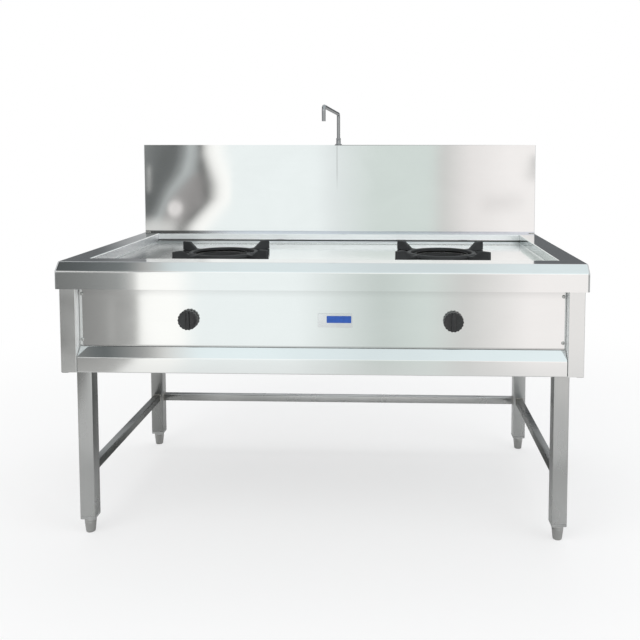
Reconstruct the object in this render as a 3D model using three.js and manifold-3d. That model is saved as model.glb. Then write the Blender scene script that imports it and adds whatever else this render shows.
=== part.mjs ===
// Two-burner wok range: a folded stainless cabinet on four square-tube legs, with a splash panel and a
// swing tap. Millimetres. +X is to the right seen from the front, +Y runs to the back, +Z is up.
// The origin is on the floor under the middle of the range.
import * as THREE from "three";
import { mergeVertices } from "three/addons/utils/BufferGeometryUtils.js";
import Module from "manifold-3d";

const wasm = await Module();
wasm.setup();

// ---------- driving dimensions ----------
const WIDTH = 1500;
const DEPTH = 830;
const RIM_HEIGHT = 805; // floor to the flat rim of the worktop
const SPLASH_TOP = 1142; // floor to the top of the splash panel
const GAP = 0.3; // clearance between pieces that touch
const SHEET = 1.5; // stainless sheet of the worktop and cabinet

// worktop
const SPLASH_DEPTH = 30;
const FRONT = -DEPTH / 2;
const DECK_BACK = DEPTH / 2 - SPLASH_DEPTH;
const BEVEL = 24; // 45 degree nose between the apron and the rim
const APRON = 51; // upright face under the nose
const RIM_FRONT = 70;
const RIM_SIDE = 67;
const RIM_BACK = 50;
const PAN_DEPTH = 30;
const PAN_FLOOR = RIM_HEIGHT - PAN_DEPTH;
const APRON_BOTTOM = RIM_HEIGHT - BEVEL - APRON;
const PAN_FRONT = FRONT + BEVEL + RIM_FRONT;
const PAN_BACK = DECK_BACK - RIM_BACK;
const PAN_SIDE = WIDTH / 2 - RIM_SIDE;

// burners
const BURNER_X = 368;
const BURNER_Y = -8;
const COCK_X = 376; // the knob, the gas cock and the mixing tube stand in line here
const TUBE_Z = 640; // their height
const PAN_HOLE_R = 84;
const PAN_LIP = 6;

// cabinet
const BODY_BOTTOM = 490;
const SIDE_X = WIDTH / 2 - 12; // outside of the side panels
const FLANGE_Y = FRONT + 5;
const FLANGE_INNER_X = 693;
const PANEL_Y = FRONT + 30; // front of the recessed control panel
const PANEL_SHEET = 1.2;
const PANEL_TOP = PAN_FLOOR - 12;
const RAIL_BEVEL_TOP = 561;
const RAIL_BEVEL_BOTTOM = 533;
const RAIL_LIP = 16; // upright behind the control panel's lower edge
const REAR_PANEL_Y = DECK_BACK - 6;
const SIDE_RETURN = 20; // fold along the rear and lower edges of a side panel
const SCREW_X = 684;
const SCREW_HEIGHTS = { upper: 712, lower: 580 };
const SCREW_HOLE_R = 2.6;

// legs and braces
const TUBE = 44;
const BRACE_TUBE = 25;
const TUBE_WALL = 1.5;
const TUBE_CORNER = 3;
const LEG_X = WIDTH / 2 - 45 - TUBE / 2;
const LEG_FRONT_Y = FRONT + 32 + TUBE / 2;
const LEG_BACK_Y = FRONT + 694 + TUBE / 2;
const LEG_BOTTOM = 53;
const LEG_TOP = PAN_FLOOR - SHEET - GAP;
const BRACE_Z = 184;

// feet and the inserts that hold them
const INSERT_BOTTOM = 45;
const INSERT_TOP = LEG_BOTTOM + 24;
const FOOT_R = 17;
const FOOT_TOP = INSERT_BOTTOM - 0.4;
const STEM_R = 5;
const STEM_TOP = 96;

// gas line
const MANIFOLD_R = 13.5;
const MANIFOLD_WALL = 2.8;
const MANIFOLD_CAP_X = -COCK_X - 52; // the capped end
const SPINDLE_R = 4;
const MANIFOLD_Y = PANEL_Y + 48;
const MANIFOLD_Z = 594;
const MANIFOLD_END_X = 618;

// tap
const SPOUT_R = 6.35;
const SPOUT_REACH = 465;
const SPOUT_TOP = 1269;
const SPOUT_DROP = 48;
const SPOUT_TURN = 2; // degrees the spout stands away from straight ahead
const TAP_Y = DEPTH / 2 - SPLASH_DEPTH / 2 + 0.1;

const deg = THREE.MathUtils.degToRad;

// ---------- materials ----------
const metal = (color, roughness) =>
  new THREE.MeshStandardMaterial({ color, roughness, metalness: 1 });
const sheetSteel = metal(0xd5d8d8, 0.28);
const tubeSteel = metal(0xa6a8a6, 0.4);
const chrome = metal(0xdddddd, 0.12);
const brass = metal(0xb8954a, 0.35);
const gasPipeSteel = metal(0x8d8f8e, 0.5);
const castIron = new THREE.MeshStandardMaterial({ color: 0x1c1d1e, roughness: 0.6, metalness: 0.4 });
const blackPlastic = new THREE.MeshStandardMaterial({ color: 0x101011, roughness: 0.25, metalness: 0 });
const greyPlastic = new THREE.MeshStandardMaterial({ color: 0x8f9190, roughness: 0.5, metalness: 0 });
const plateAluminium = metal(0xc9ccce, 0.35);
const bluePlastic = new THREE.MeshStandardMaterial({ color: 0x1f4fa8, roughness: 0.4, metalness: 0 });

// ---------- solids ----------
function toSolid(geometry) {
  const g = (geometry.index ? geometry.toNonIndexed() : geometry).clone();
  for (const name of Object.keys(g.attributes)) {
    if (name !== "position") g.deleteAttribute(name);
  }
  const merged = mergeVertices(g, 1e-4);
  return new wasm.Manifold(
    new wasm.Mesh({
      numProp: 3,
      vertProperties: merged.attributes.position.array,
      triVerts: new Uint32Array(merged.index.array),
    }),
  );
}

function toGeometry(solid) {
  const mesh = solid.getMesh();
  const g = new THREE.BufferGeometry();
  g.setAttribute("position", new THREE.BufferAttribute(mesh.vertProperties, 3));
  g.setIndex(new THREE.BufferAttribute(mesh.triVerts, 1));
  g.computeVertexNormals();
  return g;
}

const join = (...geometries) =>
  toGeometry(geometries.map(toSolid).reduce((a, b) => a.add(b)));

const cut = (geometry, ...tools) =>
  toGeometry(tools.map(toSolid).reduce((a, b) => a.subtract(b), toSolid(geometry)));

// A block from its lowest to its highest corner.
function block([x0, y0, z0], [x1, y1, z1]) {
  return new THREE.BoxGeometry(x1 - x0, y1 - y0, z1 - z0).translate(
    (x0 + x1) / 2,
    (y0 + y1) / 2,
    (z0 + z1) / 2,
  );
}

const outline = (points) => new THREE.Shape(points.map(([a, b]) => new THREE.Vector2(a, b)));

const extrude = (shape, depth, curveSegments = 4) =>
  new THREE.ExtrudeGeometry(shape, { depth, bevelEnabled: false, curveSegments });

// An outline of (y, z) points carried along X, of (x, z) points along Y, or of (x, y) points along Z.
const alongX = (shape, x0, x1) =>
  extrude(shape, x1 - x0).rotateY(Math.PI / 2).rotateX(Math.PI / 2).translate(x0, 0, 0);
const alongY = (shape, y0, y1) =>
  extrude(shape, y1 - y0).rotateX(Math.PI / 2).translate(0, y1, 0);
const alongZ = (shape, z0, z1) => extrude(shape, z1 - z0).translate(0, 0, z0);

// The cross-section of a folded sheet: a line of points and its copy one sheet thickness to its left.
function foldedSheet(points, thickness) {
  const p = points.map(([a, b]) => new THREE.Vector2(a, b));
  const left = (a, b) => {
    const d = b.clone().sub(a).normalize();
    return new THREE.Vector2(-d.y, d.x);
  };
  const inner = p.map((q, i) => {
    const before = i > 0 ? left(p[i - 1], q) : left(q, p[i + 1]);
    const after = i < p.length - 1 ? left(q, p[i + 1]) : before;
    const mitre = before.clone().add(after).normalize();
    return q.clone().addScaledVector(mitre, thickness / mitre.dot(before));
  });
  const ring = [...p, ...inner.reverse()];
  return new THREE.Shape(THREE.ShapeUtils.isClockWise(ring) ? ring.reverse() : ring);
}

// A turned piece: (radius, height) points round the Z axis.
const turned = (points, segments = 24) =>
  new THREE.LatheGeometry(points.map(([r, z]) => new THREE.Vector2(r, z)), segments).rotateX(Math.PI / 2);

// A ring that doesn't reach the axis: its (radius, height) points run anticlockwise and close on the first.
const turnedRing = (points, segments = 24) => turned([...points, points[0]], segments);

const rodZ = (r, z0, z1, segments = 16) => turned([[0, z0], [r, z0], [r, z1], [0, z1]], segments);
const rodY = (r, y0, y1, segments = 16) =>
  rodZ(r, -y1, -y0, segments).rotateX(Math.PI / 2);
const hexZ = (acrossFlats, z0, z1) => rodZ(acrossFlats / Math.sqrt(3), z0, z1, 6).rotateZ(Math.PI / 6);
const hexY = (acrossFlats, y0, y1) => rodY(acrossFlats / Math.sqrt(3), y0, y1, 6);

function roundedSquare(Kind, side, corner) {
  const h = side / 2 - corner;
  const s = new Kind();
  s.absarc(h, h, corner, 0, Math.PI / 2, false);
  s.absarc(-h, h, corner, Math.PI / 2, Math.PI, false);
  s.absarc(-h, -h, corner, Math.PI, 1.5 * Math.PI, false);
  s.absarc(h, -h, corner, 1.5 * Math.PI, 2 * Math.PI, false);
  s.closePath();
  return s;
}

// A length of square tube standing on Z.
function squareTube(size, z0, z1) {
  const shape = roundedSquare(THREE.Shape, size, TUBE_CORNER);
  shape.holes.push(roundedSquare(THREE.Path, size - 2 * TUBE_WALL, TUBE_CORNER - TUBE_WALL));
  return alongZ(shape, z0, z1);
}

// A line of corner points whose corners are rounded to the bend radius.
function bentLine(corners, bend) {
  const path = new THREE.CurvePath();
  let from = corners[0];
  for (let i = 1; i < corners.length - 1; i++) {
    const corner = corners[i];
    const start = corner.clone().add(corners[i - 1].clone().sub(corner).setLength(bend));
    const end = corner.clone().add(corners[i + 1].clone().sub(corner).setLength(bend));
    path.add(new THREE.LineCurve3(from, start));
    path.add(new THREE.QuadraticBezierCurve3(start, corner, end));
    from = end;
  }
  path.add(new THREE.LineCurve3(from, corners.at(-1)));
  return path;
}

// The same line as a list of points: its straight stretches need no points of their own.
function bentPoints(corners, bend, perBend = 5) {
  const path = bentLine(corners, bend);
  const points = [corners[0]];
  for (const curve of path.curves) {
    const steps = curve.isLineCurve3 ? 1 : perBend;
    for (let i = 1; i <= steps; i++) points.push(curve.getPoint(i / steps));
  }
  return points;
}

// A tube swept along corner points. The ring at each point lies across the line, so no frame twists.
function sweptTube(corners, outerR, innerR, bend, sides = 16) {
  const points = bentPoints(corners, bend);
  const plane = new THREE.Vector3().subVectors(corners[1], corners[0])
    .cross(new THREE.Vector3().subVectors(corners[2] ?? corners[0], corners[1])).normalize();
  const ringsOf = (r) =>
    points.map((p, i) => {
      const before = points[Math.max(i - 1, 0)];
      const after = points[Math.min(i + 1, points.length - 1)];
      const along = after.clone().sub(before).normalize();
      const across = plane.clone().cross(along);
      return Array.from({ length: sides }, (_, k) => {
        const a = (2 * Math.PI * k) / sides;
        return p.clone().addScaledVector(across, r * Math.cos(a)).addScaledVector(plane, r * Math.sin(a));
      });
    });
  const solidOf = (r) => {
    const rings = ringsOf(r);
    const positions = [];
    const face = (...v) => positions.push(...v.flatMap((q) => q.toArray()));
    rings.slice(1).forEach((ring, i) => {
      for (let k = 0; k < sides; k++) {
        const n = (k + 1) % sides;
        face(rings[i][k], rings[i][n], ring[n]);
        face(rings[i][k], ring[n], ring[k]);
      }
    });
    for (let k = 1; k < sides - 1; k++) {
      face(rings[0][0], rings[0][k + 1], rings[0][k]);
      face(rings.at(-1)[0], rings.at(-1)[k], rings.at(-1)[k + 1]);
    }
    return new THREE.BufferGeometry()
      .setAttribute("position", new THREE.Float32BufferAttribute(positions, 3));
  };
  return innerR ? cut(solidOf(outerR), solidOf(innerR)) : solidOf(outerR);
}

const range = new THREE.Group();

function addMesh(name, geometry, material, parent = range) {
  const mesh = new THREE.Mesh(geometry, material);
  mesh.name = name;
  parent.add(mesh);
  return mesh;
}

const sides = [
  ["left", -1],
  ["right", 1],
];

// ---------- worktop: apron, nose and rim folded from one sheet, with the pan welded in ----------
function makeTopDeck() {
  const nose = RIM_HEIGHT - BEVEL;
  const outer = alongX(
    outline([
      [FRONT, APRON_BOTTOM],
      [DECK_BACK, APRON_BOTTOM],
      [DECK_BACK, RIM_HEIGHT],
      [FRONT + BEVEL, RIM_HEIGHT],
      [FRONT, nose],
    ]),
    -WIDTH / 2,
    WIDTH / 2,
  );
  const slope = SHEET * Math.tan(deg(22.5)); // how far the inside of a 45 degree fold is drawn back
  const underside = alongX(
    outline([
      [FRONT + SHEET, APRON_BOTTOM - 1],
      [DECK_BACK - SHEET, APRON_BOTTOM - 1],
      [DECK_BACK - SHEET, RIM_HEIGHT - SHEET],
      [FRONT + BEVEL + slope, RIM_HEIGHT - SHEET],
      [FRONT + SHEET, nose - slope],
    ]),
    -WIDTH / 2 + SHEET,
    WIDTH / 2 - SHEET,
  );
  const opening = block(
    [-PAN_SIDE, PAN_FRONT, RIM_HEIGHT - 2 * SHEET],
    [PAN_SIDE, PAN_BACK, RIM_HEIGHT + 1],
  );
  return cut(outer, underside, opening);
}

function makeDeckPan() {
  const outside = block(
    [-PAN_SIDE - SHEET, PAN_FRONT - SHEET, PAN_FLOOR - SHEET],
    [PAN_SIDE + SHEET, PAN_BACK + SHEET, RIM_HEIGHT - SHEET - GAP],
  );
  const inside = block([-PAN_SIDE, PAN_FRONT, PAN_FLOOR], [PAN_SIDE, PAN_BACK, RIM_HEIGHT]);
  // A turned-up lip keeps water in the pan out of each burner.
  const lips = [-BURNER_X, BURNER_X].map((x) =>
    rodZ(PAN_HOLE_R + SHEET, PAN_FLOOR - SHEET, PAN_FLOOR + PAN_LIP, 40).translate(x, BURNER_Y, 0),
  );
  const holes = [-BURNER_X, BURNER_X].map((x) =>
    rodZ(PAN_HOLE_R, PAN_FLOOR - 5, PAN_FLOOR + PAN_LIP + 1, 40).translate(x, BURNER_Y, 0),
  );
  return cut(join(cut(outside, inside), ...lips), ...holes);
}
addMesh("top_deck", makeTopDeck(), sheetSteel);
addMesh("deck_pan", makeDeckPan(), sheetSteel);

// ---------- splash panel: a face with returns at its top and sides ----------
function makeSplash() {
  const front = DECK_BACK + GAP;
  const back = DEPTH / 2;
  const hem = 15;
  const foot = APRON_BOTTOM + 4;
  const body = block([-WIDTH / 2, front, foot], [WIDTH / 2, back, SPLASH_TOP]);
  const behind = block(
    [-WIDTH / 2 + SHEET, front + SHEET, foot - 1],
    [WIDTH / 2 - SHEET, back + 1, SPLASH_TOP - SHEET],
  );
  const topHem = block(
    [-WIDTH / 2 + SHEET / 2, back - SHEET, SPLASH_TOP - hem],
    [WIDTH / 2 - SHEET / 2, back, SPLASH_TOP],
  );
  const tapHole = rodZ(10.5, SPLASH_TOP - 5, SPLASH_TOP + 5).translate(0, TAP_Y, 0);
  return cut(join(cut(body, behind), topHem), tapHole);
}
addMesh("splash_panel", makeSplash(), sheetSteel);

// ---------- cabinet ----------
// A side panel seen from above: wall, front flange and the return that the control panel closes against.
function makeSidePanel(side) {
  const section = foldedSheet(
    [
      [side * FLANGE_INNER_X, PANEL_Y + PANEL_SHEET],
      [side * FLANGE_INNER_X, FLANGE_Y],
      [side * SIDE_X, FLANGE_Y],
      [side * SIDE_X, REAR_PANEL_Y - GAP],
      [side * (SIDE_X - SIDE_RETURN), REAR_PANEL_Y - GAP],
    ],
    side * SHEET,
  );
  const wall = alongZ(section, BODY_BOTTOM, PAN_FLOOR + 3);
  const x = [side * SIDE_X, side * (SIDE_X - SIDE_RETURN)].sort((a, b) => a - b);
  const foot = block(
    [x[0], FLANGE_Y + SHEET / 2, BODY_BOTTOM],
    [x[1], REAR_PANEL_Y - GAP - SHEET / 2, BODY_BOTTOM + SHEET],
  );
  return join(wall, foot);
}
for (const [name, side] of sides) addMesh(`side_panel_${name}`, makeSidePanel(side), sheetSteel);

function panelScrewHoles(y0, y1) {
  return sides.flatMap(([, side]) =>
    Object.values(SCREW_HEIGHTS).map((z) =>
      rodY(SCREW_HOLE_R, y0, y1, 12).translate(side * SCREW_X, 0, z),
    ),
  );
}

function makeFrontPanel() {
  const halfWidth = FLANGE_INNER_X - SHEET - 2 * GAP;
  const back = PANEL_Y + PANEL_SHEET;
  const flangeHalf = LEG_X - TUBE / 2 - 2;
  const flangeDepth = 14;
  const face = block([-halfWidth, PANEL_Y, RAIL_BEVEL_TOP + GAP], [halfWidth, back, PANEL_TOP]);
  const flange = block(
    [-flangeHalf, PANEL_Y + PANEL_SHEET / 2, PANEL_TOP - PANEL_SHEET],
    [flangeHalf, back + flangeDepth, PANEL_TOP],
  );
  const spindleHoles = sides.map(([, side]) =>
    rodY(2 * SPINDLE_R, PANEL_Y - 1, back + 1).translate(side * COCK_X, 0, TUBE_Z),
  );
  return cut(join(face, flange), ...spindleHoles, ...panelScrewHoles(PANEL_Y - 1, back + 1));
}
addMesh("control_panel", makeFrontPanel(), sheetSteel);

// The bottom rail: a sloped shelf, an upright face, a return to the legs and a lip behind the control panel.
function makeLowerRail() {
  const halfWidth = FLANGE_INNER_X - SHEET - 2 * GAP;
  const section = foldedSheet(
    [
      [PANEL_Y + PANEL_SHEET, RAIL_BEVEL_TOP],
      [PANEL_Y, RAIL_BEVEL_TOP],
      [FLANGE_Y, RAIL_BEVEL_BOTTOM],
      [FLANGE_Y, BODY_BOTTOM],
      [LEG_FRONT_Y - TUBE / 2 - GAP, BODY_BOTTOM],
    ],
    SHEET,
  );
  const lipFront = PANEL_Y + PANEL_SHEET + GAP;
  const lipHalf = LEG_X - TUBE / 2 - 1;
  const lip = block(
    [-lipHalf, lipFront, RAIL_BEVEL_TOP - SHEET],
    [lipHalf, lipFront + SHEET, RAIL_BEVEL_TOP + RAIL_LIP],
  );
  const shelf = block(
    [-lipHalf, PANEL_Y + PANEL_SHEET / 2, RAIL_BEVEL_TOP - SHEET],
    [lipHalf, lipFront + SHEET, RAIL_BEVEL_TOP],
  );
  return join(alongX(section, -halfWidth, halfWidth), shelf, lip);
}
addMesh("lower_rail", makeLowerRail(), sheetSteel);

function makeRearPanel() {
  const halfWidth = SIDE_X - SHEET - 1;
  const panel = block(
    [-halfWidth, REAR_PANEL_Y, BODY_BOTTOM],
    [halfWidth, REAR_PANEL_Y + SHEET, PAN_FLOOR - 5],
  );
  const foot = block(
    [-halfWidth, LEG_BACK_Y + TUBE / 2 + GAP, BODY_BOTTOM],
    [halfWidth, REAR_PANEL_Y + SHEET, BODY_BOTTOM + SHEET],
  );
  const sideNotches = sides.map(([, side]) => {
    const x = [side * (SIDE_X - SIDE_RETURN - 1), side * (halfWidth + 1)].sort((a, b) => a - b);
    return block([x[0], LEG_BACK_Y, BODY_BOTTOM - 1], [x[1], REAR_PANEL_Y, BODY_BOTTOM + 5]);
  });
  const gasHole = rodY(MANIFOLD_R + 3, REAR_PANEL_Y - 5, REAR_PANEL_Y + 5)
    .translate(MANIFOLD_END_X, 0, MANIFOLD_Z);
  return cut(join(panel, foot), ...sideNotches, gasHole);
}
addMesh("rear_panel", makeRearPanel(), sheetSteel);

// Pan-head screws hold the control panel to the front legs.
function makeScrew() {
  const head = 2.6;
  const headR = 5;
  const body = turned([[0, -9], [1.9, -8], [1.9, 0], [headR, 0], [headR * 0.87, head * 0.6], [0, head]], 12);
  const slots = [0, 90].map((a) => block([-2.6, -0.5, head - 1.1], [2.6, 0.5, head + 1]).rotateZ(deg(a)));
  return cut(body, ...slots).rotateX(Math.PI / 2);
}
for (const [name, side] of sides)
  for (const [level, z] of Object.entries(SCREW_HEIGHTS))
    addMesh(`panel_screw_${level}_${name}`, makeScrew(), chrome).position.set(
      side * SCREW_X,
      PANEL_Y - GAP,
      z,
    );

// ---------- legs, braces and feet ----------
const legPlaces = sides.flatMap(([name, side]) => [
  [`front_${name}`, side * LEG_X, LEG_FRONT_Y],
  [`rear_${name}`, side * LEG_X, LEG_BACK_Y],
]);

function makeLegInsert() {
  const inside = TUBE - 2 * TUBE_WALL - 2 * GAP;
  const plug = alongZ(roundedSquare(THREE.Shape, inside, TUBE_CORNER), INSERT_BOTTOM, INSERT_TOP);
  const collar = alongZ(
    roundedSquare(THREE.Shape, TUBE, TUBE_CORNER),
    INSERT_BOTTOM,
    LEG_BOTTOM - GAP,
  );
  return cut(join(plug, collar), rodZ(STEM_R + GAP, 0, INSERT_TOP + 5, 12));
}

// A bullet foot on a threaded stem.
function makeFoot() {
  const toe = 13.5;
  const nose = [30, 60, 90].map((degrees) => {
    const a = deg(degrees);
    return [toe - 4 + 4 * Math.sin(a), 4 - 4 * Math.cos(a)];
  });
  return turned(
    [
      [0, 0],
      [toe - 4, 0],
      ...nose,
      [FOOT_R - 1.2, 24],
      [FOOT_R, 33],
      [FOOT_R, FOOT_TOP - 2],
      [FOOT_R - 2, FOOT_TOP],
      [STEM_R, FOOT_TOP],
      [STEM_R, STEM_TOP - 1.5],
      [STEM_R - 1.5, STEM_TOP],
      [0, STEM_TOP],
    ],
    14,
  );
}

for (const [name, x, y] of legPlaces) {
  const leg = new THREE.Group();
  leg.position.set(x, y, 0);
  range.add(leg);
  const tube = squareTube(TUBE, LEG_BOTTOM, LEG_TOP);
  const screwHoles = Object.values(SCREW_HEIGHTS).map((z) =>
    rodY(SCREW_HOLE_R, -TUBE / 2 - 2, -TUBE / 2 + 4, 12).translate(Math.sign(x) * SCREW_X - x, 0, z),
  );
  addMesh(`leg_${name}`, name.startsWith("front") ? cut(tube, ...screwHoles) : tube, tubeSteel, leg);
  addMesh(`leg_insert_${name}`, makeLegInsert(), greyPlastic, leg);
  addMesh(`foot_${name}`, makeFoot(), tubeSteel, leg);
}

const braceBetween = (span) => squareTube(BRACE_TUBE, -span / 2, span / 2);
const sideBraceSpan = LEG_BACK_Y - LEG_FRONT_Y - TUBE - 2 * GAP;
const rearBraceSpan = 2 * LEG_X - TUBE - 2 * GAP;
for (const [name, side] of sides) {
  const brace = addMesh(`brace_${name}`, braceBetween(sideBraceSpan), tubeSteel);
  brace.rotation.x = Math.PI / 2;
  brace.position.set(side * LEG_X, (LEG_FRONT_Y + LEG_BACK_Y) / 2, BRACE_Z);
}
const rearBrace = addMesh("brace_rear", braceBetween(rearBraceSpan), tubeSteel);
rearBrace.rotation.y = Math.PI / 2;
rearBrace.position.set(0, LEG_BACK_Y, BRACE_Z);

// ---------- burners ----------
const BAR_Z = 690; // underside of the bars
const BAR = 28;
const BAR_WALL = 3;
const BAR_OFFSET = 112; // from the burner's axis to the near edge of each bar
const LUG_SEAT = BAR_Z + BAR_WALL + GAP;

// Two angle bars run across the cabinet and carry both burners.
function makeBurnerBar(toward) {
  const near = BURNER_Y + toward * BAR_OFFSET;
  const section = foldedSheet(
    [
      [near, BAR_Z],
      [near + toward * BAR, BAR_Z],
      [near + toward * BAR, BAR_Z + BAR],
    ],
    toward * BAR_WALL,
  );
  return alongX(section, -SIDE_X + SHEET + GAP, SIDE_X - SHEET - GAP);
}
addMesh("burner_bar_front", makeBurnerBar(-1), gasPipeSteel);
addMesh("burner_bar_rear", makeBurnerBar(1), gasPipeSteel);

const BOWL_R = 92;
const BOWL_TOP = PAN_FLOOR - SHEET - 4;
const MIX_R = 25;
const MIX_BORE = 20;
const MIX_FRONT = PANEL_Y + 118; // front face of the mixing tube
const CROWN_SEAT = 706;
const JET_R = 9;
const AIR_PORT_R = 5;
const AIR_PORT_CIRCLE = 15.5;

// Burner casting: an open bowl, the mixing tube that feeds it at tubeX and four lugs.
function makeBurnerBody(tubeX) {
  const bowl = turned(
    [
      [0, TUBE_Z - 33],
      [34, TUBE_Z - 33],
      [46, TUBE_Z - 22],
      [50, CROWN_SEAT - 18],
      [78, CROWN_SEAT],
      [BOWL_R - 6, BOWL_TOP - 12],
      [BOWL_R, BOWL_TOP - 10],
      [BOWL_R, BOWL_TOP],
      [0, BOWL_TOP],
    ],
    24,
  );
  const front = MIX_FRONT - BURNER_Y;
  const tube = rodY(MIX_R, front, -20, 20).translate(tubeX, 0, TUBE_Z);
  const bell = rodY(MIX_R + 8, front, front + 22, 20).translate(tubeX, 0, TUBE_Z);
  const lugs = [-1, 1].flatMap((sx) =>
    [-1, 1].map((sy) => {
      const y = [sy * 40, sy * (BAR_OFFSET + BAR - BAR_WALL - 2)].sort((a, b) => a - b);
      return block(
        [sx * 50 - 11, y[0], LUG_SEAT],
        [sx * 50 + 11, y[1], LUG_SEAT + 8],
      );
    }),
  );
  const hollow = turned(
    [
      [0, TUBE_Z - 26],
      [32, TUBE_Z - 26],
      [40, TUBE_Z - 18],
      [44, CROWN_SEAT - 14],
      [60, CROWN_SEAT - 4],
      [60, CROWN_SEAT],
      [72, CROWN_SEAT + 6],
      [BOWL_R - 12, BOWL_TOP - 10],
      [BOWL_R - 8, BOWL_TOP + 1],
      [0, BOWL_TOP + 1],
    ],
    24,
  );
  const bore = rodY(MIX_BORE, front + 6, -10, 20).translate(tubeX, 0, TUBE_Z);
  const jetHole = rodY(JET_R + 0.5, front - 5, front + 10, 12).translate(tubeX, 0, TUBE_Z);
  const ports = airPorts(front - 5, 14).map((port) => port.translate(tubeX, 0, 0));
  return cut(join(bowl, tube, bell, ...lugs), hollow, bore, jetHole, ...ports);
}

// Four round air ports, about the mixing tube's axis.
function airPorts(y, length) {
  return [45, 135, 225, 315].map((a) =>
    rodY(AIR_PORT_R, y, y + length, 8).translate(
      AIR_PORT_CIRCLE * Math.cos(deg(a)),
      0,
      TUBE_Z + AIR_PORT_CIRCLE * Math.sin(deg(a)),
    ),
  );
}

// The crown lifts out of the bowl: a domed cap with flame slots round its edge.
function makeBurnerCrown() {
  const crown = turnedRing(
    [
      [36, CROWN_SEAT - 4 + GAP],
      [57, CROWN_SEAT - 4 + GAP],
      [57, CROWN_SEAT + 4],
      [59, CROWN_SEAT + 22],
      [48, CROWN_SEAT + 32],
      [14, CROWN_SEAT + 34],
      [14, CROWN_SEAT + 28],
      [44, CROWN_SEAT + 26],
      [50, CROWN_SEAT + 19],
      [50, CROWN_SEAT + 6],
      [36, CROWN_SEAT + 4],
    ],
    24,
  );
  const slots = Array.from({ length: 12 }, (_, i) =>
    block([46, -3, CROWN_SEAT + 9], [64, 3, CROWN_SEAT + 19]).rotateZ(deg(30 * i)),
  );
  return cut(crown, ...slots);
}

// The shutter turns on the face of the mixing tube and covers its air ports.
function makeAirShutter() {
  const front = MIX_FRONT - BURNER_Y - GAP - 3;
  const plate = rodY(24, front, front + 3, 20).translate(0, 0, TUBE_Z);
  const tab = block([-5, front - 9, TUBE_Z + 17], [5, front + 3, TUBE_Z + 33]);
  const relief = block([-6, front - 12, TUBE_Z + 10], [6, front, TUBE_Z + 30.5]);
  const centre = rodY(JET_R + 0.5, front - 5, front + 5, 12).translate(0, 0, TUBE_Z);
  return cut(join(plate, tab), relief, centre, ...airPorts(front - 2, 8));
}

// The pan support: a ring round the burner hole and four claws that hold a wok or a flat pan.
const TRIVET_RING_R = 112;
const TRIVET_INNER_R = 99.5;
const CLAW_REACH = 204;
const CLAW_FLAT = 34;
const CLAW_THICK = 12;

function makeTrivet() {
  const base = PAN_FLOOR + GAP;
  const ringTop = base + 10;
  const ring = turnedRing(
    [
      [TRIVET_INNER_R, base],
      [TRIVET_RING_R + 6, base],
      [TRIVET_RING_R, ringTop],
      [TRIVET_INNER_R + 2, ringTop],
    ],
    40,
  );
  const top = RIM_HEIGHT;
  const flatStart = CLAW_REACH - CLAW_FLAT;
  const claw = alongY(
    outline([
      [TRIVET_RING_R - 8, base],
      [CLAW_REACH, base],
      [CLAW_REACH, top],
      [flatStart, top],
      [flatStart - 32, base + 8],
      [TRIVET_RING_R - 8, base + 8],
    ]),
    -CLAW_THICK / 2,
    CLAW_THICK / 2,
  );
  const claws = [44, 136, 224, 316].map((a) => claw.clone().rotateZ(deg(a)));
  return join(ring, ...claws);
}

// Each has been set down a little off centre and turned.
const trivetPlace = { left: { turn: 8.5, x: 12, y: -5 }, right: { turn: -2, x: 0, y: 6 } };
for (const [name, side] of sides) {
  const burner = new THREE.Group();
  burner.position.set(side * BURNER_X, BURNER_Y, 0);
  range.add(burner);
  const tubeX = side * (COCK_X - BURNER_X);
  addMesh(`burner_body_${name}`, makeBurnerBody(tubeX), castIron, burner);
  addMesh(`burner_crown_${name}`, makeBurnerCrown(), castIron, burner);
  addMesh(`air_shutter_${name}`, makeAirShutter(), gasPipeSteel, burner).position.x = tubeX;
  const trivet = addMesh(`trivet_${name}`, makeTrivet(), castIron, burner);
  const { turn, x, y } = trivetPlace[name];
  trivet.rotation.z = deg(turn);
  trivet.position.set(x, y, 0);
}

// ---------- gas line ----------
// The manifold runs behind the control panel and turns back to the inlet in the rear panel.
function makeManifold() {
  const at = (x, y) => new THREE.Vector3(x, y, MANIFOLD_Z);
  const pipe = sweptTube(
    [at(MANIFOLD_CAP_X, MANIFOLD_Y), at(MANIFOLD_END_X, MANIFOLD_Y), at(MANIFOLD_END_X, DEPTH / 2 - 4)],
    MANIFOLD_R,
    MANIFOLD_R - MANIFOLD_WALL,
    40,
    16,
  );
  const taps = sides.map(([, side]) =>
    rodZ(8.2, MANIFOLD_Z + 5, MANIFOLD_Z + MANIFOLD_R + 5, 16).translate(side * COCK_X, MANIFOLD_Y, 0),
  );
  return cut(pipe, ...taps);
}
addMesh("gas_manifold", makeManifold(), gasPipeSteel);
addMesh(
  "manifold_end_cap",
  join(
    hexZ(34, 0, 18),
    rodZ(MANIFOLD_R - MANIFOLD_WALL - 0.4, 0, 30),
  ).rotateY(Math.PI / 2).translate(MANIFOLD_CAP_X - 18 - GAP, MANIFOLD_Y, MANIFOLD_Z),
  gasPipeSteel,
);

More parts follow.
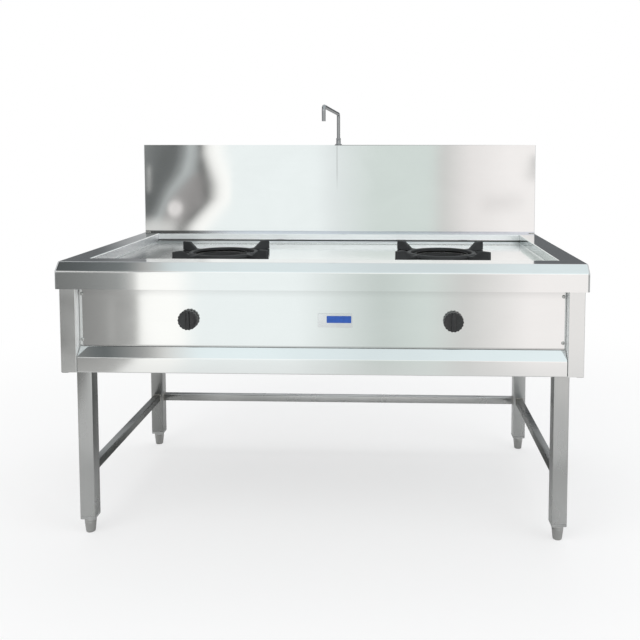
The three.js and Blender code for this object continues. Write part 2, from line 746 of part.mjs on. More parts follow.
// A hanger plate ties the manifold to the lip of the bottom rail.
function makeManifoldHanger() {
  const front = PANEL_Y + PANEL_SHEET + SHEET + 3 * GAP;
  const plate = alongX(
    outline([
      [front, RAIL_BEVEL_TOP + 1],
      [front + 12, RAIL_BEVEL_TOP + 1],
      [MANIFOLD_Y + 22, MANIFOLD_Z - 20],
      [MANIFOLD_Y + 22, MANIFOLD_Z + 22],
      [MANIFOLD_Y - 22, MANIFOLD_Z + 22],
      [front, RAIL_BEVEL_TOP + 15],
    ]),
    -1.5,
    1.5,
  );
  const hole = rodZ(MANIFOLD_R + GAP, -5, 5).rotateY(Math.PI / 2).translate(0, MANIFOLD_Y, MANIFOLD_Z);
  return cut(plate, hole);
}
for (const [name, side] of sides)
  addMesh(`manifold_hanger_${name}`, makeManifoldHanger(), gasPipeSteel).position.x = side * 190;

// A gas cock: a tapered body on the manifold, a bonnet towards the panel and an outlet towards the burner.
const VALVE_BACK = MANIFOLD_Y + 24;
function makeValve() {
  const stalk = rodZ(7.8, MANIFOLD_Z + 9, TUBE_Z, 16).translate(0, MANIFOLD_Y, 0);
  const nut = hexZ(24, MANIFOLD_Z + MANIFOLD_R + 1, MANIFOLD_Z + MANIFOLD_R + 11).translate(0, MANIFOLD_Y, 0);
  const body = rodZ(15, TUBE_Z - 17, TUBE_Z + 17, 16).translate(0, MANIFOLD_Y, 0);
  const bonnet = rodY(12, PANEL_Y + 14, MANIFOLD_Y).translate(0, 0, TUBE_Z);
  const outlet = hexY(22, MANIFOLD_Y, VALVE_BACK).translate(0, 0, TUBE_Z);
  const spindleBore = rodY(SPINDLE_R + 0.4, PANEL_Y + 5, MANIFOLD_Y).translate(0, 0, TUBE_Z);
  const gasWay = rodY(4, MANIFOLD_Y - 2, VALVE_BACK + 1, 8).translate(0, 0, TUBE_Z);
  const inlet = rodZ(4, MANIFOLD_Z, TUBE_Z, 8).translate(0, MANIFOLD_Y, 0);
  return cut(join(stalk, nut, body, bonnet, outlet), spindleBore, gasWay, inlet);
}

// The jet screws into the valve's outlet and points down the mixing tube.
function makeJet() {
  const start = VALVE_BACK + GAP;
  const nut = hexY(20, start, start + 14);
  const nozzle = rodY(JET_R - 1, start + 10, MIX_FRONT + 12);
  const tip = rodY(4, MIX_FRONT + 8, MIX_FRONT + 20, 12);
  const bore = rodY(1.2, start + 8, MIX_FRONT + 25, 8);
  const inlet = rodY(4, start - 5, start + 10, 8);
  return cut(join(nut, nozzle, tip), bore, inlet).translate(0, 0, TUBE_Z);
}

const SPINDLE_FRONT = PANEL_Y - 11;
function makeSpindle() {
  const rod = rodY(SPINDLE_R, SPINDLE_FRONT, MANIFOLD_Y - 3);
  const flat = block([-5, SPINDLE_FRONT - 1, SPINDLE_R - 1.2], [5, SPINDLE_FRONT + 10, SPINDLE_R + 2]);
  return cut(rod, flat).translate(0, 0, TUBE_Z);
}

// The knob: a round skirt, a fluted edge and a raised bar across its face.
const KNOB_R = 29;
const KNOB_FACE = PANEL_Y - 20;
function makeKnob() {
  const back = PANEL_Y - 2;
  const flutes = 18;
  const fluted = new THREE.Shape();
  const steps = flutes * 4;
  for (let i = 0; i < steps; i++) {
    const a = (2 * Math.PI * i) / steps;
    const r = KNOB_R - 1 + Math.cos(flutes * a);
    fluted[i ? "lineTo" : "moveTo"](r * Math.cos(a), r * Math.sin(a));
  }
  fluted.closePath();
  const skirt = rodY(KNOB_R, back - 5, back, 32);
  const grip = alongY(fluted, KNOB_FACE + 4, back - 4);
  const bar = alongY(
    outline([[-6.5, -KNOB_R + 5], [6.5, -KNOB_R + 5], [4.5, KNOB_R - 4], [-4.5, KNOB_R - 4]]),
    KNOB_FACE,
    KNOB_FACE + 8,
  );
  const socket = rodY(SPINDLE_R + GAP, SPINDLE_FRONT - GAP, back + 1);
  return cut(join(skirt, grip, bar), socket).translate(0, 0, TUBE_Z);
}

for (const [name, side] of sides) {
  const x = side * COCK_X;
  addMesh(`gas_valve_${name}`, makeValve(), brass).position.x = x;
  addMesh(`gas_jet_${name}`, makeJet(), brass).position.x = x;
  addMesh(`valve_spindle_${name}`, makeSpindle(), brass).position.x = x;
  addMesh(`knob_${name}`, makeKnob(), blackPlastic).position.x = x;
}

// ---------- plain plate on the control panel ----------
const PLATE = { x: 42, z: 640, width: 98, height: 40, thick: 0.8 };
const BAND = { x: 53, z: 643, width: 70, height: 20, thick: 0.5 };
function raisedPlate({ x, z, width, height, thick }, back) {
  return block(
    [x - width / 2, back - thick, z - height / 2],
    [x + width / 2, back, z + height / 2],
  );
}
addMesh("face_plate", raisedPlate(PLATE, PANEL_Y - GAP), plateAluminium);
addMesh("face_plate_band", raisedPlate(BAND, PANEL_Y - PLATE.thick - 2 * GAP), bluePlastic);

// ---------- swing tap ----------
const TAP_SHOULDER = SPLASH_TOP + GAP;
const TAP_SHANK = 26; // how far the tap's body reaches below the splash panel's top
const FEED_R = 7.5;
const FEED_BORE = 6.3;

// The tap's body stands in the splash panel's top return, and the spout turns in it.
function makeTapBody() {
  const body = turned(
    [
      [0, SPLASH_TOP - TAP_SHANK],
      [9.6, SPLASH_TOP - TAP_SHANK],
      [9.6, TAP_SHOULDER],
      [13, TAP_SHOULDER],
      [13, TAP_SHOULDER + 3],
      [8.8, TAP_SHOULDER + 5],
      [8.8, TAP_SHOULDER + 16],
      [8, TAP_SHOULDER + 18],
      [0, TAP_SHOULDER + 18],
    ],
    20,
  );
  const socket = rodZ(SPOUT_R + 2 * GAP, TAP_SHOULDER + 2, TAP_SHOULDER + 20);
  const waterWay = rodZ(4, SPLASH_TOP - 30, TAP_SHOULDER + 5, 12);
  return cut(body, socket, waterWay).translate(0, TAP_Y, 0);
}
addMesh("tap_body", makeTapBody(), chrome);
addMesh(
  "tap_back_nut",
  cut(hexZ(24, SPLASH_TOP - SHEET - GAP - 6, SPLASH_TOP - SHEET - GAP), rodZ(9.9, 0, SPLASH_TOP + 5))
    .translate(0, TAP_Y, 0),
  brass,
);

const spout = new THREE.Group();
spout.position.set(0, TAP_Y, 0);
spout.rotation.z = -deg(SPOUT_TURN);
range.add(spout);
const spoutRise = 3; // the arm climbs a little towards its outer end
addMesh(
  "tap_spout",
  sweptTube(
    [
      new THREE.Vector3(0, 0, TAP_SHOULDER + 2 + GAP),
      new THREE.Vector3(0, 0, SPOUT_TOP - SPOUT_R - spoutRise),
      new THREE.Vector3(0, -SPOUT_REACH, SPOUT_TOP - SPOUT_R),
      new THREE.Vector3(0, -SPOUT_REACH, SPOUT_TOP - SPOUT_R - SPOUT_DROP),
    ],
    SPOUT_R,
    SPOUT_R - 1.2,
    16,
    12,
  ),
  chrome,
  spout,
);
addMesh(
  "tap_collar",
  cut(
    hexZ(17.5, TAP_SHOULDER + 18 + GAP, TAP_SHOULDER + 26),
    rodZ(SPOUT_R + 2 * GAP, 0, SPLASH_TOP + 50),
  ).translate(0, TAP_Y, 0),
  chrome,
);

// The feed pipe runs down behind the splash panel to a nut for the building's water.
const FEED_TOP = SPLASH_TOP - TAP_SHANK - GAP;
const FEED_BOTTOM = 872;
addMesh(
  "water_pipe",
  cut(rodZ(FEED_R, FEED_BOTTOM, FEED_TOP), rodZ(FEED_BORE, 0, SPLASH_TOP)).translate(0, TAP_Y, 0),
  chrome,
);
addMesh(
  "water_inlet_nut",
  cut(
    join(
      hexZ(24, FEED_BOTTOM - 20, FEED_BOTTOM - GAP),
      rodZ(10.4, FEED_BOTTOM - 34, FEED_BOTTOM - 15),
    ),
    rodZ(FEED_BORE, 0, SPLASH_TOP),
  ).translate(0, TAP_Y, 0),
  brass,
);

// A strap clip holds the feed pipe to the back of the splash panel.
function makePipeClip() {
  const front = DECK_BACK + GAP + SHEET + GAP - TAP_Y; // the splash panel's rear face, seen from the pipe
  const r = FEED_R + GAP;
  const strap = 1.2;
  const ear = 22;
  const width = 14;
  const outer = new THREE.Shape();
  outer.moveTo(-ear, front);
  outer.lineTo(ear, front);
  outer.lineTo(ear, front + strap);
  outer.lineTo(r + strap, front + strap);
  outer.lineTo(r + strap, 0);
  outer.absarc(0, 0, r + strap, 0, Math.PI, false);
  outer.lineTo(-r - strap, front + strap);
  outer.lineTo(-ear, front + strap);
  outer.closePath();
  return cut(alongZ(outer, 0, width), rodZ(r, -1, width + 1));
}
const CLIP_Z = 960;
addMesh("pipe_clip", makePipeClip(), chrome).position.set(0, TAP_Y, CLIP_Z);

export default range;
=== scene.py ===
# Looks of the two-burner wok range: folded stainless sheet, square-tube legs, iron trivets and a swing tap.
# Points are written in millimetres and turned into metres where a mesh is made.
import math

import bmesh
import bpy
from mathutils import Matrix, Vector, noise


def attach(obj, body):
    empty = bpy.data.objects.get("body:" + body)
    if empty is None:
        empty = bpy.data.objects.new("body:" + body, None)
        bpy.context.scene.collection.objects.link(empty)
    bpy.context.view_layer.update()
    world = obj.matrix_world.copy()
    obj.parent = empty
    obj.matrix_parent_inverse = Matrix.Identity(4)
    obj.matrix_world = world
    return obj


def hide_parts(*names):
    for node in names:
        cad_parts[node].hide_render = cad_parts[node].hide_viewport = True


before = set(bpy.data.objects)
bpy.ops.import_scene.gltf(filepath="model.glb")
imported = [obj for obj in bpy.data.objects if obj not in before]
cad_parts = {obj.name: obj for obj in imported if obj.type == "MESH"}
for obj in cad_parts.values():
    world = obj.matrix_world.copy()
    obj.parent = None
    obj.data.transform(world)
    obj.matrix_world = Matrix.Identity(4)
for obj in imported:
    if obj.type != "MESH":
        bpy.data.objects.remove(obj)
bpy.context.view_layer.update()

MM = 0.001
SIDES = (("left", -1), ("right", 1))
scene = bpy.context.scene

# ---------- dimensions, as in the CAD model ----------
HALF_WIDTH = 750
FRONT = -415
DECK_BACK = 385
BACK = 415
RIM = 805
NOSE = 781  # top of the apron
NOSE_DEPTH = 24
APRON_BOTTOM = 730
PAN_FRONT = -321
PAN_BACK = 335
PAN_SIDE = 683
PAN_FLOOR = 775
SHEET = 1.5
GAP = 0.3  # clearance between neighbouring pieces
SPLASH_TOP = 1142
BURNER_X = 368
BURNER_Y = -8
HOLE_R = 84
SIDE_X = 738
SIDE_BACK = 378.7
FLANGE_X = 693  # the side panel's front flange ends here
FLANGE_Y = -410
PANEL_Y = -385
BODY_BOTTOM = 490
RAIL_END = 690.9
RAIL_TOP = 561
RAIL_FOLD = 533  # where the rail's sloped shelf meets its upright face
LEG_X = 683
LEG_FRONT_Y = -361
LEG_BACK_Y = 301
BRACE_Z = 184
TUBE = 44
BRACE_TUBE = 25
INSERT_BOTTOM = 45.0
INSERT_TOP = 76.9
TAP_Y = 400.1
KNOB_X = 376
KNOB_Z = 640


# ---------- node helpers ----------
def add_node(tree, kind, settings=None, **inputs):
    """A shader node. A key of inputs names a socket, with _ for each space, or is i and the socket's number.
    A value that is itself a socket is linked."""
    made = tree.nodes.new(kind)
    for key, value in (settings or {}).items():
        setattr(made, key, value)
    for key, value in inputs.items():
        numbered = key[0] == "i" and key[1:].isdigit()
        socket = made.inputs[int(key[1:]) if numbered else key.replace("_", " ")]
        if isinstance(value, bpy.types.NodeSocket):
            tree.links.new(value, socket)
        else:
            socket.default_value = value
    return made


def new_material(name, metallic=0.0):
    made = bpy.data.materials.new(name)
    made.use_nodes = True
    shader = made.node_tree.nodes["Principled BSDF"]
    shader.inputs["Metallic"].default_value = metallic
    return made, made.node_tree, shader


def plug(shader, **sockets):
    """Links each value to the shader's socket of that name, with _ for a space."""
    for key, value in sockets.items():
        shader.id_data.links.new(value, shader.inputs[key.replace("_", " ")])


def calculate(tree, operation, one, two=0.0):
    return add_node(tree, "ShaderNodeMath", {"operation": operation}, i0=one, i1=two).outputs[0]


def multiply(tree, one, two):
    return calculate(tree, "MULTIPLY", one, two)


def add_up(tree, one, two):
    return calculate(tree, "ADD", one, two)


def vector_step(tree, operation, **inputs):
    return add_node(tree, "ShaderNodeVectorMath", {"operation": operation}, **inputs)


def split_coords(tree, space="Object"):
    """A node whose outputs X, Y and Z are the coordinates in that space."""
    coords = add_node(tree, "ShaderNodeTexCoord")
    return add_node(tree, "ShaderNodeSeparateXYZ", Vector=coords.outputs[space])


def map_range(tree, value, start, end, low=0.0, high=1.0, smooth=False):
    """Takes a value that runs from start to end onto low to high, and no further."""
    settings = {"clamp": True}
    if smooth:
        settings["interpolation_type"] = "SMOOTHSTEP"
    made = add_node(tree, "ShaderNodeMapRange", settings, Value=value)
    for name, number in (("From Min", start), ("From Max", end), ("To Min", low), ("To Max", high)):
        made.inputs[name].default_value = number
    return made.outputs["Result"]


def spread(tree, value, low, high, start=0.3, end=0.7):
    """Stretches a noise value onto the range from low to high."""
    return map_range(tree, value, start, end, low, high)


def by_axis(axis, along, across):
    """A value for each of x, y and z: one along the axis and another across it."""
    return tuple(along if name == axis else across for name in "XYZ")


def surface_noise(tree, scale, detail=3.0, roughness=0.5, distortion=0.0):
    """Noise fixed to the object. scale is one number, or one for each axis."""
    coords = add_node(tree, "ShaderNodeTexCoord")
    scales = scale if isinstance(scale, tuple) else (scale, scale, scale)
    placed = add_node(tree, "ShaderNodeMapping", Vector=coords.outputs["Object"], Scale=scales)
    return add_node(
        tree,
        "ShaderNodeTexNoise",
        Vector=placed.outputs["Vector"],
        Scale=1.0,
        Detail=detail,
        Roughness=roughness,
        Distortion=distortion,
    ).outputs["Fac"]


def blend_colours(tree, factor, dark, light):
    ramp = add_node(tree, "ShaderNodeValToRGB", Fac=factor)
    ramp.color_ramp.elements[0].color = (*dark, 1)
    ramp.color_ramp.elements[1].color = (*light, 1)
    return ramp.outputs["Color"]


def lay_over(tree, amount, under, colour):
    """A plain colour laid over what is there."""
    made = add_node(tree, "ShaderNodeMix", {"data_type": "RGBA"}, i0=amount, i6=under, i7=(*colour, 1))
    return made.outputs[2]


def bump(tree, height, distance, normal=None):
    under = {"Normal": normal} if normal else {}
    made = add_node(tree, "ShaderNodeBump", Strength=1.0, Distance=distance, Height=height, **under)
    return made.outputs["Normal"]


def dimmed(colour, share):
    return tuple(share * c for c in colour)


# ---------- materials ----------
def zone_mask(tree, *bands):
    """1 inside a zone. Each band is (axis, where it is 0, where it is 1), and the bands are multiplied."""
    split = split_coords(tree)
    mask = None
    for axis, start, end in bands:
        band = map_range(tree, split.outputs[axis], start, end, smooth=True)
        mask = multiply(tree, mask, band) if mask else band
    return mask


def make_sheet_steel(name, grain_axis, colour=(0.8, 0.805, 0.8), roughness=0.085, lean=0.0, zones=()):
    """Polished stainless sheet: fine lines along one axis, a slightly wavy surface, faint wipe marks.
    Each zone is (bands or a mask function, amount, colour, added roughness): painted shade, painted shadow
    and painted reflections laid over the steel, and near-black soot round the burners that is also painted
    shade.
    lean tips the surface back by that slope, as a long sheet bows between its folds."""
    made, tree, shader = new_material(name, 1.0)
    shader.inputs["Anisotropic"].default_value = 0.4
    shader.inputs["Anisotropic Rotation"].default_value = 0.25
    lines = surface_noise(tree, by_axis(grain_axis, 3.0, 900.0), 3.0, 0.6)
    wipe = surface_noise(tree, (5.0, 5.0, 7.0), 4.0, 0.6, 0.8)
    sway = surface_noise(tree, (2.1, 2.1, 1.4), 1.0, 0.4)
    cloud = spread(tree, wipe, 0.0, 1.0)
    rough = spread(tree, wipe, roughness * 0.85, roughness * 1.3)
    tone = add_up(tree, spread(tree, lines, 0.0, 0.35), multiply(tree, cloud, 0.65))
    tint = blend_colours(tree, tone, dimmed(colour, 0.96), colour)
    for zone, amount, zone_colour, roughening in zones:
        mask = zone(tree) if callable(zone) else zone_mask(tree, *zone)
        rough = add_up(tree, rough, multiply(tree, mask, roughening))
        tint = lay_over(tree, multiply(tree, mask, amount), tint, zone_colour)
    surface = bump(tree, lines, 0.000003, bump(tree, sway, 0.0011))
    if lean:
        tipped = vector_step(tree, "ADD", i0=surface, i1=(0, 0, lean)).outputs[0]
        surface = vector_step(tree, "NORMALIZE", i0=tipped).outputs[0]
    x, y, z = by_axis(grain_axis, 1, 0)
    tangent = add_node(tree, "ShaderNodeCombineXYZ", X=x, Y=y, Z=z).outputs[0]
    plug(shader, Base_Color=tint, Roughness=rough, Normal=surface, Tangent=tangent)
    return made


def make_tube_steel(name, grain_axis, colour=(0.53, 0.535, 0.53), zones=()):
    """Satin square tube, ground along its length, duller and darker than the sheet.
    Each zone is (bands, amount, colour), and lays painted shade and painted reflections over the tube."""
    made, tree, shader = new_material(name, 1.0)
    lines = surface_noise(tree, by_axis(grain_axis, 4.0, 700.0), 3.0, 0.6)
    patches = surface_noise(tree, (14.0, 14.0, 6.0), 2.0, 0.5)
    rough = spread(tree, patches, 0.24, 0.36)
    tone = multiply(tree, spread(tree, lines, 0.55, 1.0), spread(tree, patches, 0.75, 1.0))
    tint = blend_colours(tree, tone, dimmed(colour, 0.84), colour)
    for bands, amount, zone_colour in zones:
        tint = lay_over(tree, multiply(tree, zone_mask(tree, *bands), amount), tint, zone_colour)
    plug(shader, Base_Color=tint, Roughness=rough, Normal=bump(tree, lines, 0.000008))
    return made


def make_weld(name):
    """A small fused bead: straw and grey heat tint, rippled and semi-bright."""
    made, tree, shader = new_material(name, 1.0)
    grains = surface_noise(tree, 260.0, 4.0, 0.6)
    heat = spread(tree, surface_noise(tree, 60.0, 2.0, 0.5), 0.0, 1.0)
    tint = blend_colours(tree, heat, (0.36, 0.34, 0.31), (0.66, 0.65, 0.62))
    rough = spread(tree, grains, 0.28, 0.5)
    plug(shader, Base_Color=tint, Roughness=rough, Normal=bump(tree, grains, 0.0003))
    return made


def make_cast_iron(name, colour, roughness, grain=0.00022, wear=0.55):
    """Sand-cast iron under black heat-proof paint: pitted, with rubbed high spots."""
    made, tree, shader = new_material(name, 0.15)
    shader.inputs["Specular IOR Level"].default_value = 0.55
    sand = surface_noise(tree, 520.0, 5.0, 0.65)
    lumps = surface_noise(tree, 95.0, 3.0, 0.5)
    cloud = surface_noise(tree, 22.0, 3.0, 0.55)
    geometry = add_node(tree, "ShaderNodeNewGeometry")
    edge = spread(tree, geometry.outputs["Pointiness"], 0.0, 1.0, 0.505, 0.56)
    worn = multiply(tree, edge, spread(tree, lumps, 0.2, 1.0))
    settings = {"operation": "MULTIPLY_ADD", "use_clamp": True}
    mottle = spread(tree, cloud, 0.0, 0.35)
    tone = add_node(tree, "ShaderNodeMath", settings, i0=worn, i1=wear, i2=mottle).outputs[0]
    light = tuple(min(1.0, 3.0 * c + 0.02) for c in colour)
    plug(
        shader,
        Base_Color=blend_colours(tree, tone, colour, light),
        Roughness=spread(tree, cloud, roughness * 0.85, roughness * 1.2),
        Normal=bump(tree, sand, grain, bump(tree, lumps, grain * 2.2)),
    )
    return made


def make_plain_metal(name, colour, roughness, mottle=0.85, grain=0.00004, scale=180.0):
    """A cast, drawn or plated metal: cloudy tone, a fine grain and small changes of gloss."""
    made, tree, shader = new_material(name, 1.0)
    fine = surface_noise(tree, scale, 4.0, 0.6)
    cloud = surface_noise(tree, 24.0, 3.0, 0.55, 0.4)
    tint = blend_colours(tree, spread(tree, cloud, 0.0, 1.0), dimmed(colour, mottle), colour)
    rough = spread(tree, cloud, roughness * 1.25, roughness * 0.85)
    plug(shader, Base_Color=tint, Roughness=rough, Normal=bump(tree, fine, grain))
    return made


def make_plastic(name, colour, roughness, lift=1.3):
    """Moulded plastic: a faint spark-eroded grain and slightly uneven gloss."""
    made, tree, shader = new_material(name)
    fine = surface_noise(tree, 900.0, 2.0, 0.5)
    cloud = surface_noise(tree, 70.0, 3.0, 0.55)
    light = tuple(min(1.0, lift * c) for c in colour)
    tint = blend_colours(tree, spread(tree, cloud, 0.0, 1.0), colour, light)
    rough = spread(tree, cloud, roughness * 0.85, roughness * 1.3)
    plug(shader, Base_Color=tint, Roughness=rough, Normal=bump(tree, fine, 0.00003))
    return made


def burner_soot_and_shade(tree):
    """1 near a burner's centre, fading out under the trivet's ring, with a ragged edge: soot that is also
    painted shade inside the ring.
    """
    split = split_coords(tree)
    across = calculate(tree, "SUBTRACT", calculate(tree, "ABSOLUTE", split.outputs["X"]), BURNER_X * MM)
    along = calculate(tree, "SUBTRACT", split.outputs["Y"], BURNER_Y * MM)
    flat = add_node(tree, "ShaderNodeCombineXYZ", X=across, Y=along, Z=0.0).outputs[0]
    reach = vector_step(tree, "LENGTH", i0=flat).outputs["Value"]
    ragged = spread(tree, surface_noise(tree, 60.0), -0.006, 0.006)
    return map_range(tree, add_up(tree, reach, ragged), 0.118, 0.1, smooth=True)


# The zones below are bands in metres, as zone_mask takes them. Most of them lay painted shade, painted
# shadow, painted highlights and painted reflections on the steel.
# Near-black colour laid in creases, at joints and under overhangs: painted shade.
PAINTED_SHADE = (0.035, 0.036, 0.036)
# Near-white colour laid where the steel should look bright: painted highlights and painted reflections.
PAINTED_HIGHLIGHT = (0.97, 0.975, 0.975)
# Dark colour laid on the tubes' inward faces: painted shade.
TUBE_PAINTED_SHADE = (0.13, 0.135, 0.13)
IN_PAN = (("X", 0.6875, 0.6855), ("X", -0.6875, -0.6855), ("Y", 0.338, 0.336), ("Y", -0.324, -0.322))
PAN_BED = (("Z", 0.7775, 0.776), *IN_PAN)
LEFT_OF_BURNERS = (("X", -0.48, -0.53), ("X", -0.65, -0.57), ("Y", -0.31, -0.2), ("Y", 0.19, 0.07))
PAN_RIGHT_WALL = (*IN_PAN, ("X", 0.65, 0.668), ("Z", 0.8035, 0.802))
PAN_LEFT_WALL = (*IN_PAN, ("X", -0.6815, -0.683), ("Z", 0.8045, 0.803), ("Z", 0.777, 0.78))
PAN_REAR_WALL = (*IN_PAN, ("Y", 0.33, 0.3335), ("Z", 0.784, 0.786), ("Z", 0.8045, 0.803))
PAN_REAR_CREASE = (*IN_PAN, ("Y", 0.33, 0.333), ("Z", 0.7845, 0.783), ("Z", 0.777, 0.7782))
SPLASH_FOOT = (("Y", 0.383, 0.3845), ("Z", 0.802, 0.804))
APRON_LEFT_END = (("Y", -0.405, -0.412), ("Z", 0.7775, 0.776), ("X", -0.5, -0.575))
steel_x = make_sheet_steel("stainless_sheet_polished", "X")
steel_worktop = make_sheet_steel(
    "stainless_sheet_worktop",
    "X",
    zones=[
        # The pan bed painted brighter: a painted reflection.
        ((*PAN_BED, ("Y", 0.3335, 0.331), ("Y", -0.3195, -0.317)), 0.9, (0.93, 0.94, 0.935), 0.0),
        # A pale strip at the back of the pan bed: a painted highlight.
        ((*PAN_BED, ("Y", 0.26, 0.31)), 1.0, PAINTED_HIGHLIGHT, 0.35),
        # A darker patch left of the left burner: a painted reflection.
        ((*PAN_BED, ("X", -0.5, -0.575)), 0.85, (0.31, 0.325, 0.325), 0.15),
        # A dark patch left of the left burner: a painted reflection.
        ((*PAN_BED, *LEFT_OF_BURNERS), 0.8, (0.12, 0.13, 0.13), 0.05),
        # The pan's right wall painted grey: a painted reflection.
        (PAN_RIGHT_WALL, 0.85, (0.6, 0.62, 0.615), 0.05),
        # The pan's left wall painted pale: a painted reflection.
        (PAN_LEFT_WALL, 0.95, (0.985, 0.965, 0.98), 0.3),
        # The pan's rear wall painted pale: a painted highlight.
        (PAN_REAR_WALL, 1.0, PAINTED_HIGHLIGHT, 0.42),
        # A dark line in the pan's rear crease: painted shade.
        (PAN_REAR_CREASE, 0.95, PAINTED_SHADE, 0.2),
        # A dark line where the splash meets the rim: painted shade.
        (SPLASH_FOOT, 0.5, PAINTED_SHADE, 0.1),
        # The apron's left end painted darker: a painted reflection.
        (APRON_LEFT_END, 0.8, (0.36, 0.375, 0.375), 0.15),
        # Soot round the burners that is also painted shade inside the rings.
        (burner_soot_and_shade, 0.96, (0.02, 0.02, 0.02), 0.35),
    ],
)
ABOVE_RIM = (("Z", 0.813, 0.8095), ("Z", 0.8035, 0.8055))
UNDER_TAP = (("X", -0.009, -0.005), ("X", -0.001, -0.004), ("Z", 0.955, 1.06))
steel_splash = make_sheet_steel(
    "stainless_sheet_splash",
    "X",
    roughness=0.06,
    lean=0.061,
    zones=[
        # A dark line along the splash's foot at the left: painted shade.
        ((*ABOVE_RIM, ("X", -0.35, -0.62)), 0.85, PAINTED_SHADE, 0.1),
        # A bluish tint along the splash's foot at the right: a painted reflection.
        ((*ABOVE_RIM, ("X", -0.62, -0.35)), 0.5, (0.45, 0.5, 0.62), 0.1),
        # A faint dark streak under the tap: painted shade.
        (UNDER_TAP, 0.25, PAINTED_SHADE, 0.05),
    ],
)
UNDER_WORKTOP = (("Z", 0.7, 0.73),)
ABOVE_RAIL = (("Z", 0.5665, 0.564),)
steel_panel = make_sheet_steel(
    "stainless_sheet_panel",
    "X",
    # Painted shadow under the worktop's overhang, and painted shade where the panel meets the rail.
    zones=[(UNDER_WORKTOP, 0.14, PAINTED_SHADE, 0.05), (ABOVE_RAIL, 0.3, PAINTED_SHADE, 0.1)],
)
LEFT_FLANGE_EDGE = (("X", -0.697, -0.694), ("Y", -0.409, -0.406))
steel_side = make_sheet_steel(
    "stainless_sheet_side",
    "Z",
    (0.74, 0.745, 0.74),
    roughness=0.2,
    # A pale strip on the left flange's edge: a painted highlight.
    zones=[(LEFT_FLANGE_EDGE, 1.0, PAINTED_HIGHLIGHT, 0.45)],
)
FRONT_LEGS = (("Y", -0.33, -0.336),)


def inward_face(side, start, end):
    """The face of one side's tubes that looks towards the range's middle."""
    return ("X", side * start, side * end), ("X", 0.0, side * 0.1)


tube_z = make_tube_steel(
    "stainless_tube_upright",
    "Z",
    zones=[
        # The front legs painted lighter towards the foot: a painted reflection.
        ((*FRONT_LEGS, ("Z", 0.3, 0.06)), 1.0, (0.7, 0.705, 0.7)),
        # A lighter patch on the rear right leg: a painted reflection.
        ((("Y", 0.2, 0.27), ("X", 0.5, 0.6)), 1.0, (0.76, 0.765, 0.76)),
        # The front legs' inward faces painted darker: painted shade.
        *(
            ((*inward_face(side, 0.6618, 0.6612), *FRONT_LEGS, ("Z", 0.15, 0.42)), 0.95, TUBE_PAINTED_SHADE)
            for side in (1, -1)
        ),
    ],
)
# The side braces' darker colour is painted shade, and their inward faces are painted darker still.
tube_y = make_tube_steel(
    "stainless_tube_side_brace",
    "Y",
    (0.32, 0.325, 0.32),
    zones=[(inward_face(side, 0.6712, 0.6706), 0.6, TUBE_PAINTED_SHADE) for side in (1, -1)],
)
# The rear brace's lighter colour and its darker stretches at the left and right are painted light and painted
# shade.
tube_x = make_tube_steel(
    "stainless_tube_rear_brace",
    "X",
    (0.78, 0.785, 0.78),
    zones=[
        ((("X", -0.42, -0.58),), 0.9, (0.4, 0.405, 0.4)),
        ((("X", 0.35, 0.55),), 0.7, (0.52, 0.525, 0.52)),
    ],
)
weld = make_weld("weld_bead")
foot_metal = make_plain_metal("foot_turned_steel", (0.62, 0.62, 0.61), 0.3)
insert_grey = make_plastic("foot_insert_grey", (0.3, 0.305, 0.3), 0.45)
fastener = make_plain_metal("screw_plated", (0.55, 0.55, 0.54), 0.25)
gas_steel = make_plain_metal("gas_pipe_steel", (0.36, 0.365, 0.37), 0.42, 0.7, 0.00012, 260.0)
burner_iron = make_cast_iron("burner_cast_iron", (0.02, 0.0205, 0.021), 0.7, 0.0003, 0.2)
trivet_iron = make_cast_iron("trivet_black_iron", (0.013, 0.0135, 0.014), 0.58, wear=0.3)
brass = make_plain_metal("brass_forged", (0.66, 0.47, 0.2), 0.3, 0.78)
knob_black = make_plastic("knob_black_gloss", (0.012, 0.0122, 0.013), 0.22, 1.6)
plate_metal = make_plain_metal("plate_aluminium", (0.74, 0.745, 0.75), 0.3, 0.93)
band_blue = make_plastic("band_blue_lacquer", (0.012, 0.075, 0.36), 0.3, 1.35)
chrome = make_plain_metal("tap_chrome", (0.4, 0.405, 0.41), 0.09, 0.9, 0.00001)


# ---------- mesh helpers ----------
def finish_mesh(name, mesh, material, body, slot, nodes=()):
    """Places a finished mesh as a piece of the range."""
    made = bpy.data.objects.new(name, mesh)
    scene.collection.objects.link(made)
    mesh.materials.clear()
    mesh.materials.append(material)
    for polygon in mesh.polygons:
        polygon.use_smooth = True
    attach(made, body)
    if nodes:
        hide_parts(*nodes)
    return made


def mesh_from(name, vertices, faces, facing=None):
    """A mesh in metres from points in mm, with shared points merged and its faces turned outwards.
    For an open skin, facing is a direction in which its furthest face must look."""
    bm = bmesh.new()
    made = [bm.verts.new(Vector(v) * MM) for v in vertices]
    for face in faces:
        bm.faces.new([made[i] for i in face])
    bmesh.ops.remove_doubles(bm, verts=bm.verts, dist=1e-6)
    bmesh.ops.recalc_face_normals(bm, faces=bm.faces)
    if facing:
        way = Vector(facing)

        def how_far(face):
            return face.calc_center_median().dot(way) + 1e-3 * abs(face.normal.dot(way))

        if max(bm.faces, key=how_far).normal.dot(way) < 0:
            bmesh.ops.reverse_faces(bm, faces=bm.faces)
    mesh = bpy.data.meshes.new(name)
    bm.to_mesh(mesh)
    bm.free()
    return mesh


def round_edges(piece, width, segments=3, angle=30):
    made = piece.modifiers.new("rounded_edges", "BEVEL")
    made.limit_method = "ANGLE"
    made.angle_limit = math.radians(angle)
    made.width = width * MM
    made.segments = segments
    made.use_clamp_overlap = False


def flat_shading(piece):
    made = piece.modifiers.new("face_shading", "WEIGHTED_NORMAL")
    made.keep_sharp = True
    made.weight = 80


